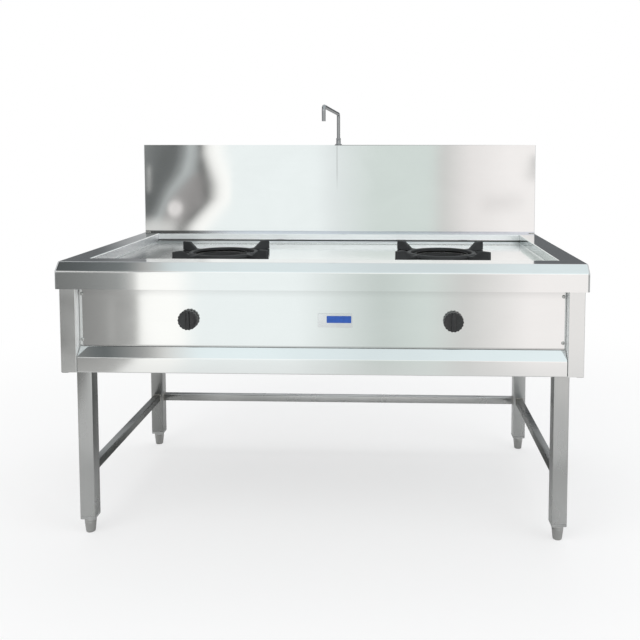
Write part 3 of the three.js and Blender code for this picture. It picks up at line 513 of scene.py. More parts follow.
def make_folded(name, mesh, material, nodes, bend, segments=3, angle=30):
    """A piece folded from sheet: its skin with rounded bends and the sheet's thickness."""
    made = finish_mesh(name, mesh, material, "cabinet", "stainless_sheet", nodes)
    round_edges(made, bend, segments, angle)
    thickness = made.modifiers.new("sheet_thickness", "SOLIDIFY")
    thickness.thickness = SHEET * MM
    thickness.offset = -1
    thickness.use_even_offset = True
    flat_shading(made)


def sharpen(piece, angle):
    """Keeps the creases above this angle crisp under smooth shading."""
    piece.data.set_sharp_from_angle(angle=math.radians(angle))


def make_piece(name, skin, material, slot, node, sharp, body="cabinet"):
    """A piece that stands for one CAD node. Creases above the angle sharp stay crisp."""
    sharpen(finish_mesh(name, skin.mesh(name), material, body, slot, (node,)), sharp)


def apply_modifiers(piece):
    graph = bpy.context.evaluated_depsgraph_get()
    mesh = bpy.data.meshes.new_from_object(piece.evaluated_get(graph))
    piece.modifiers.clear()
    piece.data = mesh


class Skin:
    """Collects faces by their corner points."""

    def __init__(self):
        self.vertices = []
        self.faces = []

    def face(self, *points):
        start = len(self.vertices)
        self.vertices.extend(points)
        self.faces.append(list(range(start, start + len(points))))

    def strip(self, row_a, row_b, closed=False):
        """Quads between two rows of points."""
        count = len(row_a)
        for i in range(count if closed else count - 1):
            j = (i + 1) % count
            self.face(row_a[i], row_a[j], row_b[j], row_b[i])

    def strips(self, rows, looped=False):
        """Quads round neighbouring rows; with looped the last row joins the first."""
        following = rows[1:] + rows[:1] if looped else rows[1:]
        for one, two in zip(rows, following):
            self.strip(one, two, closed=True)

    def solid(self, rows):
        """Strips closed by a face at each end."""
        self.strips(rows)
        self.face(*reversed(rows[0]))
        self.face(*rows[-1])

    def mesh(self, name, facing=None):
        return mesh_from(name, self.vertices, self.faces, facing)


def circle(count, start=0.0):
    """The cosine and sine of each step round a circle."""
    angles = [start + 2 * math.pi * i / count for i in range(count)]
    return [(math.cos(a), math.sin(a)) for a in angles]


def ring(radius, z, count, centre=(0, 0), start=0.0):
    return [(centre[0] + radius * c, centre[1] + radius * s, z) for c, s in circle(count, start)]


def lathe(skin, profile, count=64, centre=(0, 0)):
    """Turns (radius, z) points round an upright axis; a radius of 0 closes the surface there."""
    rows = [[(*centre, z)] * count if r == 0 else ring(r, z, count, centre) for r, z in profile]
    for low, high in zip(rows, rows[1:]):
        for i in range(count):
            j = (i + 1) % count
            corners = []
            for point in (low[i], low[j], high[j], high[i]):
                if point not in corners:
                    corners.append(point)
            if len(corners) > 2:
                skin.face(*corners)


def rounded(points, radius, steps=4):
    """A flat outline of (a, b) points with its corners rounded. radius may be a list, one for each corner."""
    made = []
    count = len(points)
    for i, point in enumerate(points):
        r = radius[i] if isinstance(radius, (list, tuple)) else radius
        p = Vector(point)
        before = (Vector(points[i - 1]) - p).normalized()
        after = (Vector(points[(i + 1) % count]) - p).normalized()
        half = before.angle(after) / 2
        reach = r / math.tan(half)
        middle = p + (before + after).normalized() * (r / math.sin(half))
        start = p + before * reach - middle
        turn = start.angle_signed(p + after * reach - middle)
        for k in range(steps + 1):
            q = start.copy()
            q.rotate(Matrix.Rotation(-turn * k / steps, 2))
            made.append(tuple(middle + q))
    return made


def rectangle(half_a, half_b):
    return [(-half_a, -half_b), (half_a, -half_b), (half_a, half_b), (-half_a, half_b)]


def square_outline(side, corner, steps=6):
    h = side / 2
    return rounded([(h, h), (-h, h), (-h, -h), (h, -h)], corner, steps)


def make_tube(name, node, material, side, low, high, place):
    """A square tube with open ends and softened rims. place(a, b, c) gives the point at c along the tube."""
    wall = SHEET
    corner = 3
    skin = Skin()
    outer = square_outline(side, corner)
    outer_rim = square_outline(side - 0.8, corner - 0.4)
    inner_rim = square_outline(side - 2 * wall + 0.6, corner - wall + 0.3)
    inner = square_outline(side - 2 * wall, corner - wall)
    rows = [(inner, high - 6), (inner, high - 0.3), (inner_rim, high), (outer_rim, high), (outer, high - 0.4)]
    rows += [(outer, low + 0.4), (outer_rim, low), (inner_rim, low), (inner, low + 0.3), (inner, low + 6)]
    skin.strips([[place(a, b, c) for a, b in outline] for outline, c in rows], looped=True)
    make_piece(name, skin, material, "stainless_tube", node, 50)


def bent_line(corners, bend):
    """A line of points whose inner corners are rounded."""
    steps = 12
    made = [Vector(corners[0])]
    for i in range(1, len(corners) - 1):
        corner = Vector(corners[i])
        start = corner + (Vector(corners[i - 1]) - corner).normalized() * bend
        end = corner + (Vector(corners[i + 1]) - corner).normalized() * bend
        for k in range(steps + 1):
            t = k / steps
            made.append(start * (1 - t) ** 2 + corner * 2 * t * (1 - t) + end * t * t)
    made.append(Vector(corners[-1]))
    return made


def weld_bead(name, path, radius, closed=False):
    """A run of weld along a path of points: a low bead with ripples."""
    line = [Vector(p) for p in path]
    following = line[1:] + line[:1] if closed else line[1:]
    points = []
    for a, b in zip(line, following):
        steps = max(1, round((b - a).length / 0.9))
        points.extend(a.lerp(b, k / steps) for k in range(steps))
    if not closed:
        points.append(line[-1])
    count = len(points)
    rows = []
    across = None
    for i, point in enumerate(points):
        before = points[(i - 1) % count] if closed else points[max(i - 1, 0)]
        after = points[(i + 1) % count] if closed else points[min(i + 1, count - 1)]
        along = (after - before).normalized()
        if across is None:
            across = along.orthogonal().normalized()
        across = (across - along * across.dot(along)).normalized()
        other = along.cross(across)
        ripple = 1 + 0.16 * math.sin(1.9 * i) + 0.14 * noise.noise(point * 0.35)
        ends = 1.0 if closed else min(1.0, 0.35 + 0.3 * min(i, count - 1 - i))
        r = radius * ripple * ends
        rows.append([tuple(point + across * (r * c) + other * (r * s)) for c, s in circle(10)])
    skin = Skin()
    if closed:
        skin.strips(rows, looped=True)
    else:
        skin.solid(rows)
    finish_mesh(name, skin.mesh(name), weld, "cabinet", "stainless_tube")


# ---------- worktop: apron, nose, rims and pan as one folded skin ----------
FRONT_RADIUS = 9
REAR_RADIUS = 3
PAN_RADIUS = 5
LIP_RADIUS = 4.0  # where the pan turns up round a burner hole
LIP_HEIGHT = 6


def deck_outline(side, front, back, z, radii):
    corners = [(-side, front), (side, front), (side, back), (-side, back)]
    return [(x, y, z) for x, y in rounded(corners, radii, 6)]


def lip_rows(x):
    """The pan's upturned lip round the burner hole at x."""
    wall = HOLE_R + SHEET
    quarter = [math.pi / 12 * k for k in range(7)]
    section = [
        (wall + LIP_RADIUS * (1 - math.sin(a)), PAN_FLOOR + LIP_RADIUS * (1 - math.cos(a))) for a in quarter
    ]
    section.append((wall, PAN_FLOOR + LIP_HEIGHT))
    return [ring(r, z, 72, (x, BURNER_Y)) for r, z in section]


def fill_pan_floor(mesh):
    """Closes the pan's floor round the two lips and turns every face outwards."""
    bm = bmesh.new()
    bm.from_mesh(mesh)
    rims = [e for e in bm.edges if e.is_boundary]
    on_floor = [e for e in rims if all(abs(v.co.z - PAN_FLOOR * MM) < 1e-6 for v in e.verts)]
    bmesh.ops.triangle_fill(bm, edges=on_floor, use_beauty=True, normal=(0, 0, 1))
    bmesh.ops.recalc_face_normals(bm, faces=bm.faces)
    apron = min(bm.faces, key=lambda f: f.calc_center_median().y)
    if apron.normal.y > 0:
        bmesh.ops.reverse_faces(bm, faces=bm.faces)
    bm.to_mesh(mesh)
    bm.free()


def make_worktop():
    outer = [FRONT_RADIUS, FRONT_RADIUS, REAR_RADIUS, REAR_RADIUS]
    skin = Skin()
    skin.strips(
        [
            deck_outline(HALF_WIDTH, FRONT, DECK_BACK, APRON_BOTTOM, outer),
            deck_outline(HALF_WIDTH, FRONT, DECK_BACK, NOSE, outer),
            deck_outline(HALF_WIDTH, FRONT + NOSE_DEPTH, DECK_BACK, RIM, outer),
            deck_outline(PAN_SIDE, PAN_FRONT, PAN_BACK, RIM, PAN_RADIUS),
            deck_outline(PAN_SIDE, PAN_FRONT, PAN_BACK, PAN_FLOOR, PAN_RADIUS),
        ]
    )
    for x in (-BURNER_X, BURNER_X):
        skin.strips(lip_rows(x))
    mesh = skin.mesh("worktop", (0, -1, 0))
    fill_pan_floor(mesh)
    make_folded("worktop", mesh, steel_worktop, ("top_deck", "deck_pan"), 3.6, 5, 28)


make_worktop()


def make_hem():
    """The apron's lower edge, turned in and pressed up flat behind the outer sheet."""
    low = APRON_BOTTOM
    top = APRON_BOTTOM + 12

    def outline(inset, z):
        radii = [FRONT_RADIUS - inset, FRONT_RADIUS - inset, 1, 1]
        return deck_outline(HALF_WIDTH - inset, FRONT + inset, DECK_BACK - inset, z, radii)

    fold = [(0.9, low + 0.02), (1.6, low - 0.3), (2.3, low + 0.05), (2.85, low + 0.6), (3.05, low + 1.4)]
    edge = [(3.05, top - 0.4), (2.7, top), (1.9, top), (1.7, top - 0.4)]
    outside = [(1.7, low + 1.6), (0.9, low + 1.5)]
    skin = Skin()
    skin.strips([outline(*point) for point in fold + edge + outside], looped=True)
    made = finish_mesh("worktop_hem", skin.mesh("worktop_hem"), steel_x, "cabinet", "stainless_sheet")
    sharpen(made, 50)


make_hem()


# ---------- splash panel ----------
def make_splash():
    """A box folded from sheet and open at the back, with the tap's hole in its top and a hem behind it."""
    w = HALF_WIDTH
    top = SPLASH_TOP
    front = DECK_BACK + GAP
    foot = APRON_BOTTOM + 4
    hem = top - 15
    box = 14.0  # half the square that the tap's hole is cut in
    skin = Skin()
    skin.face((-w, front, foot), (w, front, foot), (w, front, top), (-w, front, top))
    for x in (-w, w):
        skin.face((x, front, foot), (x, BACK, foot), (x, BACK, hem), (x, BACK, top), (x, front, top))
    hole = ring(10.5, top, 32, (0, TAP_Y))
    corners = [(box, BACK, top), (-box, BACK, top), (-box, front, top), (box, front, top)]
    for i, corner in enumerate(corners):
        arc = [hole[(4 + 8 * i + k) % 32] for k in range(9)]
        skin.face(corner, corners[(i + 1) % 4], *reversed(arc))
    for x0, x1 in ((-w, -box), (box, w)):
        skin.face((x0, front, top), (x1, front, top), (x1, BACK, top), (x0, BACK, top))
    skin.face((-w, BACK, top), (w, BACK, top), (w, BACK, hem), (-w, BACK, hem))
    mesh = skin.mesh("splash_back", (0, -1, 0))
    make_folded("splash_back", mesh, steel_splash, ("splash_panel",), 1.8, 3, 28)


make_splash()


# ---------- cabinet sheets ----------
def make_side(side_name, side):
    """A side panel with a front flange, and with its rear and bottom edges turned in."""
    outer = side * SIDE_X
    turned = outer - side * 20
    flange = side * FLANGE_X
    section = [(flange, PANEL_Y + 1.2), (flange, FLANGE_Y), (outer, FLANGE_Y)]
    section += [(outer, SIDE_BACK), (turned, SIDE_BACK)]
    skin = Skin()
    skin.strip([(x, y, BODY_BOTTOM) for x, y in section], [(x, y, PAN_FLOOR + 3) for x, y in section])
    near = outer - side * 1.6
    low, high = FLANGE_Y + 1.7, SIDE_BACK - 1.7
    skin.face(*((x, y, BODY_BOTTOM) for x, y in ((near, low), (near, high), (turned, high), (turned, low))))
    name = f"cabinet_side_{side_name}"
    make_folded(name, skin.mesh(name, (side, 0, 0)), steel_side, (f"side_panel_{side_name}",), 1.8)


for side_name, side in SIDES:
    make_side(side_name, side)


def make_rail():
    """The lower rail: a sloped shelf and an upright face, with a lip behind the panel between the legs."""
    skin = Skin()

    def fold(end, section):
        skin.strip([(-end, y, z) for y, z in section], [(end, y, z) for y, z in section])

    shelf_back = (PANEL_Y + 1.4, RAIL_TOP)
    lip_y = PANEL_Y + SHEET
    shelf = [shelf_back, (PANEL_Y, RAIL_TOP), (FLANGE_Y, RAIL_FOLD)]
    fold(RAIL_END, [*shelf, (FLANGE_Y, BODY_BOTTOM), (PANEL_Y + 1.6, BODY_BOTTOM)])
    fold(LEG_X - TUBE / 2 - 2, [shelf_back, (lip_y, RAIL_TOP), (lip_y, RAIL_TOP + 16)])
    make_folded("bottom_rail", skin.mesh("bottom_rail", (0, -1, 0)), steel_x, ("lower_rail",), 2.6, 4)


make_rail()

# ---------- finish of the CAD pieces that keep their shape ----------
# Each has a material and the width of its rounded edges.
KEPT = {
    "control_panel": (steel_panel, 0.35),
    "rear_panel": (steel_x, 0.4),
    "burner_bar_front": (gas_steel, 0.6),
    "burner_bar_rear": (gas_steel, 0.6),
    "gas_manifold": (gas_steel, 0.0),
    "manifold_end_cap": (gas_steel, 0.7),
    "tap_back_nut": (brass, 0.6),
    "water_pipe": (chrome, 0.3),
    "water_inlet_nut": (brass, 0.6),
    "pipe_clip": (chrome, 0.25),
}
KEPT_PAIRS = {
    "manifold_hanger": (gas_steel, 0.3),
    "burner_body": (burner_iron, 1.0),
    "burner_crown": (burner_iron, 0.7),
    "air_shutter": (gas_steel, 0.4),
    "gas_valve": (brass, 0.6),
    "gas_jet": (brass, 0.4),
    "valve_spindle": (brass, 0.3),
}
for side_name, side in SIDES:
    for pair_name, finish in KEPT_PAIRS.items():
        KEPT[f"{pair_name}_{side_name}"] = finish

for node_name, (material, edge) in KEPT.items():
    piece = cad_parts[node_name]
    piece.data.materials.clear()
    piece.data.materials.append(material)
    for polygon in piece.data.polygons:
        polygon.use_smooth = True
    merge = piece.modifiers.new("merge", "WELD")
    merge.merge_threshold = 0.00001
    if edge:
        round_edges(piece, edge, 2, 35)
    flat_shading(piece)

# ---------- legs, inserts, feet and braces ----------
LEGS = {
    "front_left": (-LEG_X, LEG_FRONT_Y),
    "rear_left": (-LEG_X, LEG_BACK_Y),
    "front_right": (LEG_X, LEG_FRONT_Y),
    "rear_right": (LEG_X, LEG_BACK_Y),
}
LEG_BOTTOM = 53
LEG_TOP = PAN_FLOOR - 1.8
STEM_HOLE_R = 5.3
THREAD_START = 46.0
THREAD_PITCH = 1.5
THREAD_TURNS = 32


def make_insert(leg_name, x, y):
    """The grey collar under the leg with its plug inside the tube."""
    rows = [
        (square_outline(TUBE - 1.2, 2.6), INSERT_BOTTOM),
        (square_outline(TUBE, 3), 45.8),
        (square_outline(TUBE, 3), 51.9),
        (square_outline(TUBE - 0.8, 2.8), 52.6),
        (square_outline(TUBE - 3.8, 1.6), 52.7),
        (square_outline(TUBE - 3.8, 1.6), 76.0),
        (square_outline(TUBE - 5, 1.2), INSERT_TOP),
    ]
    placed = [[(x + a, y + b, z) for a, b in outline] for outline, z in rows]
    skin = Skin()
    skin.strips(placed)
    count = len(placed[0])
    low, high = [ring(STEM_HOLE_R, z, count, (x, y), math.pi / 4) for z in (INSERT_BOTTOM, INSERT_TOP)]
    skin.strip(placed[0], low, closed=True)
    skin.strip(placed[-1], high, closed=True)
    skin.strip(low, high, closed=True)
    make_piece(f"insert_{leg_name}", skin, insert_grey, "foot_insert", f"leg_insert_{leg_name}", 40)


def make_foot(leg_name, x, y):
    """A turned bullet foot with a shoulder, a groove and a threaded stem."""
    nose = [(0, 0), (9.5, 0), (11.6, 0.5), (12.9, 1.7), (13.5, 4)]
    bullet = [(14, 8), (15, 16), (15.8, 24), (16.5, 29)]
    groove = [(16.9, 32.4), (16.9, 33.2), (16.2, 34), (16.2, 35.2), (16.9, 36)]
    shoulder = [(17, 41.6), (16.5, 43), (15, 44.3), (6.5, 44.5), (5, 44.6)]
    thread = []
    for turn in range(THREAD_TURNS):
        z = THREAD_START + THREAD_PITCH * turn
        thread += [(4.2, z), (4.2, z + 0.35), (5, z + 0.8), (5, z + 1.05)]
    tip = [(4.2, 94.2), (3.4, 95.8), (0, 96)]
    skin = Skin()
    lathe(skin, nose + bullet + groove + shoulder + thread + tip, 48, (x, y))
    body = f"{leg_name}_foot"
    make_piece(f"bullet_foot_{leg_name}", skin, foot_metal, "foot_metal", f"foot_{leg_name}", 35, body)


def make_leg(leg_name, x, y):
    def place(a, b, c):
        return x + a, y + b, c

    make_tube(f"leg_tube_{leg_name}", f"leg_{leg_name}", tube_z, TUBE, LEG_BOTTOM, LEG_TOP, place)
    make_insert(leg_name, x, y)
    make_foot(leg_name, x, y)


for leg_name, (x, y) in LEGS.items():
    make_leg(leg_name, x, y)


def make_brace(name, node, material, ends, low, high, place):
    """A square tube between two legs, welded all round at both ends."""
    inset = TUBE / 2 + 0.05
    low = low + inset
    high = high - inset
    make_tube(name, node, material, BRACE_TUBE, low, high, place)
    for end_name, c in zip(ends, (low, high)):
        path = [place(a, b, c) for a, b in square_outline(BRACE_TUBE + 0.4, 3, 5)]
        weld_bead(f"weld_{name}_{end_name}", path, 1.5, closed=True)


def make_side_brace(side_name, side):
    def place(a, b, c):
        return side * LEG_X + a, c, BRACE_Z + b

    name = f"side_brace_{side_name}"
    make_brace(name, f"brace_{side_name}", tube_y, ("front", "rear"), LEG_FRONT_Y, LEG_BACK_Y, place)


def make_back_brace():
    def place(a, b, c):
        return c, LEG_BACK_Y + a, BRACE_Z + b

    make_brace("back_brace", "brace_rear", tube_x, ("left", "right"), -LEG_X, LEG_X, place)


for side_name, side in SIDES:
    make_side_brace(side_name, side)
make_back_brace()


def weld_splash_corner(side_name, side):
    """Welds where the splash panel meets the worktop: a short one on the rim and one down the corner."""
    rim = [
        (side * (HALF_WIDTH - 1.4), DECK_BACK - 0.8, RIM - 1.8),
        (side * (HALF_WIDTH - 2.4), DECK_BACK - 1, RIM + 0.4),
        (side * (HALF_WIDTH - 22), DECK_BACK - 0.8, RIM + 0.6),
    ]
    corner = [(side * (HALF_WIDTH - 0.6), DECK_BACK + 0.2, z) for z in (APRON_BOTTOM + 10, RIM - 4)]
    weld_bead(f"weld_splash_{side_name}", rim, 1.9)
    weld_bead(f"weld_corner_{side_name}", corner, 1.1)


for side_name, side in SIDES:
    weld_splash_corner(side_name, side)

# ---------- screws ----------
SCREW_X = 684
SCREW_LEVELS = {"upper": 712, "lower": 580}


def cross_recess():
    """A cutter for the cross in a screw's head."""
    skin = Skin()
    for a, b in ((2.4, 0.5), (0.5, 2.4)):
        bottom = [(0.55 * p, 0.55 * q, 1.1) for p, q in rectangle(a, b)]
        top = [(p, q, 3.4) for p, q in rectangle(a, b)]
        skin.solid([bottom, top])
    cutter = bpy.data.objects.new("recess", skin.mesh("recess"))
    scene.collection.objects.link(cutter)
    return cutter


def make_screw(level, z, side_name, side):
    """A domed screw with a cross recess, turned about z and then laid into the panel."""
    shank = [(0, -9), (1.9, -8), (1.9, 0)]
    head = [(4.7, 0), (5.0, 0.35), (4.95, 0.9), (4.4, 1.7), (3.3, 2.3), (1.8, 2.55), (0, 2.6)]
    skin = Skin()
    lathe(skin, shank + head, 40)
    name = f"screw_{level}_{side_name}"
    made = finish_mesh(name, skin.mesh(name), fastener, "cabinet", "fastener", (f"panel_{name}",))
    cutter = cross_recess()
    cut = made.modifiers.new("recess", "BOOLEAN")
    cut.object = cutter
    cut.solver = "EXACT"
    cut.use_self = True
    apply_modifiers(made)
    bpy.data.objects.remove(cutter)
    place = Matrix.Translation(Vector((side * SCREW_X, PANEL_Y - GAP, z)) * MM)
    made.data.transform(place @ Matrix.Rotation(math.pi / 2, 4, "X"))
    sharpen(made, 35)


for side_name, side in SIDES:
    for level, z in SCREW_LEVELS.items():
        make_screw(level, z, side_name, side)

# ---------- trivets ----------
# Where each trivet's middle is, and how many degrees it is turned.
TRIVETS = {"left": (-BURNER_X + 12, BURNER_Y - 5, 8.5), "right": (BURNER_X, BURNER_Y + 6, -2.0)}
TRIVET_BASE = PAN_FLOOR + GAP
TRIVET_TOP = RIM - 0.05
CLAW_ANGLES = (44, 136, 224, 316)
CLAW_MIDDLE = (165, TRIVET_BASE + 9)  # the claw's chamfered faces shrink towards this radius and height


def add_trivet_ring(skin):
    base = TRIVET_BASE
    corners = [(99.5, base), (117.6, base), (112.2, base + 10), (101, base + 10)]
    section = rounded(corners, [0.8, 1.0, 2.4, 2.0])
    skin.strips([ring(r, z, 128) for r, z in section], looped=True)


def add_claw(skin, angle):
    """An upright web from the ring outwards. Its upper edge is a little thinner than its foot."""
    base = TRIVET_BASE
    top = TRIVET_TOP
    corners = [(104, base), (203.8, base), (203.8, top), (170, top), (139, base + 8.6), (104, base + 8.6)]
    side_view = rounded(corners, [1, 1.2, 2.2, 6, 12, 1])
    turned = Matrix.Rotation(math.radians(angle), 3, "Z")
    middle_r, middle_z = CLAW_MIDDLE
    rows = []
    for offset, inset in ((-5.9, 0.9), (-5.0, 0.0), (5.0, 0.0), (5.9, 0.9)):
        pull = 1 - inset / 40
        row = []
        for r, z in side_view:
            taper = 1 - 0.12 * max(0.0, (z - base) / 30)
            point = (middle_r + (r - middle_r) * pull, offset * taper, middle_z + (z - middle_z) * pull)
            row.append(tuple(turned @ Vector(point)))
        rows.append(row)
    skin.solid(rows)


def make_trivet(side_name, cx, cy, turn):
    """A cast ring with four claws, fused into one casting with soft inner corners."""
    skin = Skin()
    add_trivet_ring(skin)
    for angle in CLAW_ANGLES:
        add_claw(skin, angle)
    name = f"pan_support_{side_name}"
    node = f"trivet_{side_name}"
    made = finish_mesh(name, skin.mesh(name), trivet_iron, f"{side_name}_trivet", "cast_iron_black", (node,))
    fuse = made.modifiers.new("fuse", "REMESH")
    fuse.mode = "VOXEL"
    fuse.voxel_size = 1.25 * MM
    fuse.use_smooth_shade = True
    soften = made.modifiers.new("soften", "SMOOTH")
    soften.factor = 0.5
    soften.iterations = 4
    apply_modifiers(made)
    place = Matrix.Translation(Vector((cx, cy, 0)) * MM)
    made.data.transform(place @ Matrix.Rotation(math.radians(turn), 4, "Z"))
    made.data.materials.clear()
    made.data.materials.append(trivet_iron)


for trivet_name, place in TRIVETS.items():
    make_trivet(trivet_name, *place)

# ---------- knobs ----------
FLUTES = 18
KNOB_BACK = PANEL_Y - 2
# The knob from its back to the middle of its dished face: (depth, radius, how deep the flutes are).
KNOB_SECTION = [
    (0, 27.6, 0),
    (0.5, 28.4, 0),
    (1.2, 28.6, 0),
    (2.6, 28.6, 0.4),
    (3.4, 28.9, 1.4),
    (4.4, 29, 2.1),
    (11, 28.9, 2.1),
    (12.4, 28.6, 1.8),
    (13.4, 27.7, 1.1),
    (13.9, 26.3, 0.4),
    (14.0, 24.6, 0),
    (13.7, 23.2, 0),
    (13.2, 20, 0),
    (12.9, 12, 0),
    (12.8, 5, 0),
]
KNOB_BAR = [(-6.5, -24), (6.5, -24), (4.5, 25), (-4.5, 25)]
# The raised bar's rows: (depth, how far its sides draw in).
KNOB_BAR_DEPTHS = ((8, 0.0), (16.6, 0.0), (17.5, 0.04), (17.9, 0.14))


def fluted_row(x, depth, radius, flute):
    made = []
    count = 240
    for i, (c, s) in enumerate(circle(count)):
        wave = 0.5 + 0.5 * math.cos(FLUTES * 2 * math.pi * i / count)
        r = radius - flute * (1 - wave**0.6)
        made.append((x + r * c, KNOB_BACK - depth, KNOB_Z + r * s))
    return made


def make_knob(side_name, x):
    """A glossy knob: flutes round its edge, a thin skirt behind them, a dished face and a raised bar."""
    skin = Skin()
    skin.solid([fluted_row(x, *row) for row in KNOB_SECTION])
    bar = rounded(KNOB_BAR, [3.5, 3.5, 2.8, 2.8], 5)
    skin.solid(
        [
            [(x + a * (1 - draw), KNOB_BACK - depth, KNOB_Z + b * (1 - 0.25 * draw)) for a, b in bar]
            for depth, draw in KNOB_BAR_DEPTHS
        ]
    )
    body = f"{side_name}_control"
    make_piece(f"knob_cap_{side_name}", skin, knob_black, "knob_black", f"knob_{side_name}", 38, body)


for side_name, side in SIDES:
    make_knob(side_name, side * KNOB_X)


# ---------- plate and band ----------
def make_plate(name, node, material, slot, back, middle, size, thick, corner):
    """A thin plate on the panel with a softened front edge. middle and size are (x, z)."""
    rows = []
    for share, inset in ((0.0, 0.0), (0.65, 0.0), (0.92, 0.1), (1.0, 0.35)):
        outline = rounded(rectangle(size[0] / 2 - inset, size[1] / 2 - inset), corner, 6)
        rows.append([(middle[0] + a, back - thick * share, middle[1] + b) for a, b in outline])
    skin = Skin()
    skin.solid(rows)
    make_piece(name, skin, material, slot, node, 60)


def make_badge():
    """A plain plate with a plain coloured band on it."""
    plate = ("badge_plate", "face_plate", plate_metal, "plate_aluminium")
    band = ("badge_band", "face_plate_band", band_blue, "band_blue")
    make_plate(*plate, PANEL_Y - GAP, middle=(42, 640), size=(98, 40), thick=0.8, corner=2.5)
    make_plate(*band, PANEL_Y - 1.4, middle=(53, 643), size=(70, 20), thick=0.5, corner=1.6)


make_badge()

# ---------- tap ----------
TAP_SEAT = SPLASH_TOP + GAP
TAP_BODY_END = 1116
COLLAR_FLATS = 17.5
COLLAR_BORE_R = 7.2
SPOUT_R = 6.35
SPOUT_TOP = 1269
SPOUT_REACH = 465
SPOUT_DROP = 48
SPOUT_TURN = -2  # degrees from straight ahead
SPOUT_BEND = 16
OUTLET_DEPTH = 14


def make_tap_body():
    """A turned body through the splash panel's top: a flange, a neck and the spout's socket."""
    s = TAP_SEAT
    flange = [(12.4, s), (13, s + 0.6), (13, s + 2.4), (12.4, s + 3.1), (10.2, s + 3.6), (9.1, s + 4.8)]
    neck = [(8.8, s + 6.5), (8.8, s + 14.4), (8.7, s + 15.9), (8.3, s + 17.3), (7.8, s + 17.9), (7.0, s + 18)]
    socket = [(7.0, s + 3), (4, s + 3), (4, TAP_BODY_END)]
    skin = Skin()
    lathe(skin, [(4, TAP_BODY_END), (9.6, TAP_BODY_END), (9.6, s), *flange, *neck, *socket], 56, (0, TAP_Y))
    make_piece("tap_base", skin, chrome, "tap_chrome", "tap_body", 35)


def make_collar():
    """The hexagonal gland nut round the spout, with chamfered corners."""
    count = 72
    half = COLLAR_FLATS / 2
    rows = []
    for height, chamfer in ((18.3, 1.0), (19.1, 0.0), (25.0, 0.0), (25.9, 1.1)):
        row = []
        for i, (c, s) in enumerate(circle(count)):
            to_flat = (2 * math.pi * i / count + math.pi / 6) % (math.pi / 3) - math.pi / 6
            r = min(half / math.cos(to_flat), half * 1.13 - chamfer)
            row.append((r * c, TAP_Y + r * s, TAP_SEAT + height))
        rows.append(row)
    rows += [ring(COLLAR_BORE_R, TAP_SEAT + height, count, (0, TAP_Y)) for height in (26, 18.3)]
    skin = Skin()
    skin.strips(rows, looped=True)
    make_piece("tap_gland_nut", skin, chrome, "tap_chrome", "tap_collar", 30)


def make_spout():
    """A bent pipe: up, forward with a slight rise, and down to an outlet with a soft rim and a short bore."""
    turn = Matrix.Rotation(math.radians(SPOUT_TURN), 3, "Z")
    run = SPOUT_TOP - SPOUT_R
    foot = (0, 0, TAP_SEAT + 2.3)
    corners = [foot, (0, 0, run - 3), (0, -SPOUT_REACH, run), (0, -SPOUT_REACH, run - SPOUT_DROP)]
    line = bent_line([turn @ Vector(c) + Vector((0, TAP_Y, 0)) for c in corners], SPOUT_BEND)
    last = len(line) - 1
    end = line[last]
    inward = (line[last - 1] - end).normalized()
    points = line + [end, end + inward * 0.5, end + inward * OUTLET_DEPTH]
    radii = [SPOUT_R] * last + [6.1, 5.3, 5.15, 5.15]
    across = (turn @ Vector((1, 0, 0))).normalized()
    rows = []
    for i, (point, radius) in enumerate(zip(points, radii)):
        along = (line[min(i + 1, last)] - line[max(min(i, last) - 1, 0)]).normalized()
        other = along.cross(across).normalized()
        rows.append([tuple(point + across * (radius * c) + other * (radius * s)) for c, s in circle(36)])
    skin = Skin()
    skin.solid(rows)
    make_piece("swing_spout", skin, chrome, "tap_chrome", "tap_spout", 40, "spout")


make_tap_body()
make_collar()
make_spout()

# ---------- camera ----------
CAMERA_PLACE = (0.1923, -2.4706, 1.1196)
PITCH = 0.06571
YAW = -0.0315
ROLL = 0.00047


def make_camera():
    """The photograph's camera. The shift is there because the photograph has been cropped off centre."""
    forward = Vector((math.sin(YAW) * math.cos(PITCH), math.cos(YAW) * math.cos(PITCH), -math.sin(PITCH)))
    level = Vector((math.cos(YAW), -math.sin(YAW), 0))
    upward = Vector((math.sin(YAW) * math.sin(PITCH), math.cos(YAW) * math.sin(PITCH), math.cos(PITCH)))
    axis_x = level * math.cos(ROLL) + upward * math.sin(ROLL)
    axis_y = upward * math.cos(ROLL) - level * math.sin(ROLL)
    data = bpy.data.cameras.new("camera")
    data.lens = 42.0
    data.sensor_width = 36
    data.shift_x = -0.0703
    data.shift_y = -0.1875
    data.clip_end = 200
    camera = bpy.data.objects.new("camera", data)
    scene.collection.objects.link(camera)
    turned = Matrix((axis_x, axis_y, -forward)).transposed().to_4x4()
    camera.matrix_world = Matrix.Translation(CAMERA_PLACE) @ turned
    scene.camera = camera


make_camera()

# ---------- studio ----------
# Polished sheet shows the studio's front wall and ceiling. Each is a row of soft cards, (x, level, tint),
# with x in metres. level is how bright the card looks in the sheet, from 0 to 1. Cards blend into each other.
NEUTRAL = (1.0, 1.0, 0.99)
COOL = (0.975, 1.0, 1.0)
SKY = (0.945, 0.99, 1.0)
GREEN = (0.96, 1.0, 0.983)
WARM = (1.0, 0.985, 0.98)
FLAG_EDGE = -1.178  # a grey flag ends here, with a bright strip beside it
LEAN_LIFT = 0.328  # how much higher on the wall the splash panel's lean makes it look
LOW_WALL = [
    (-2.6, 0.5, NEUTRAL),
    (-1.8, 0.4, NEUTRAL),
    (-1.192, 0.65, NEUTRAL),
    (-1.165, 1.0, NEUTRAL),
    (-0.95, 1.0, NEUTRAL),
    (-0.85, 0.95, COOL),
    (-0.3, 0.95, COOL),
    (0.15, 0.8, GREEN),
    (0.4, 0.85, GREEN),
    (0.6, 0.8, NEUTRAL),
    (0.95, 0.95, WARM),
    (2.6, 0.9, NEUTRAL),
]
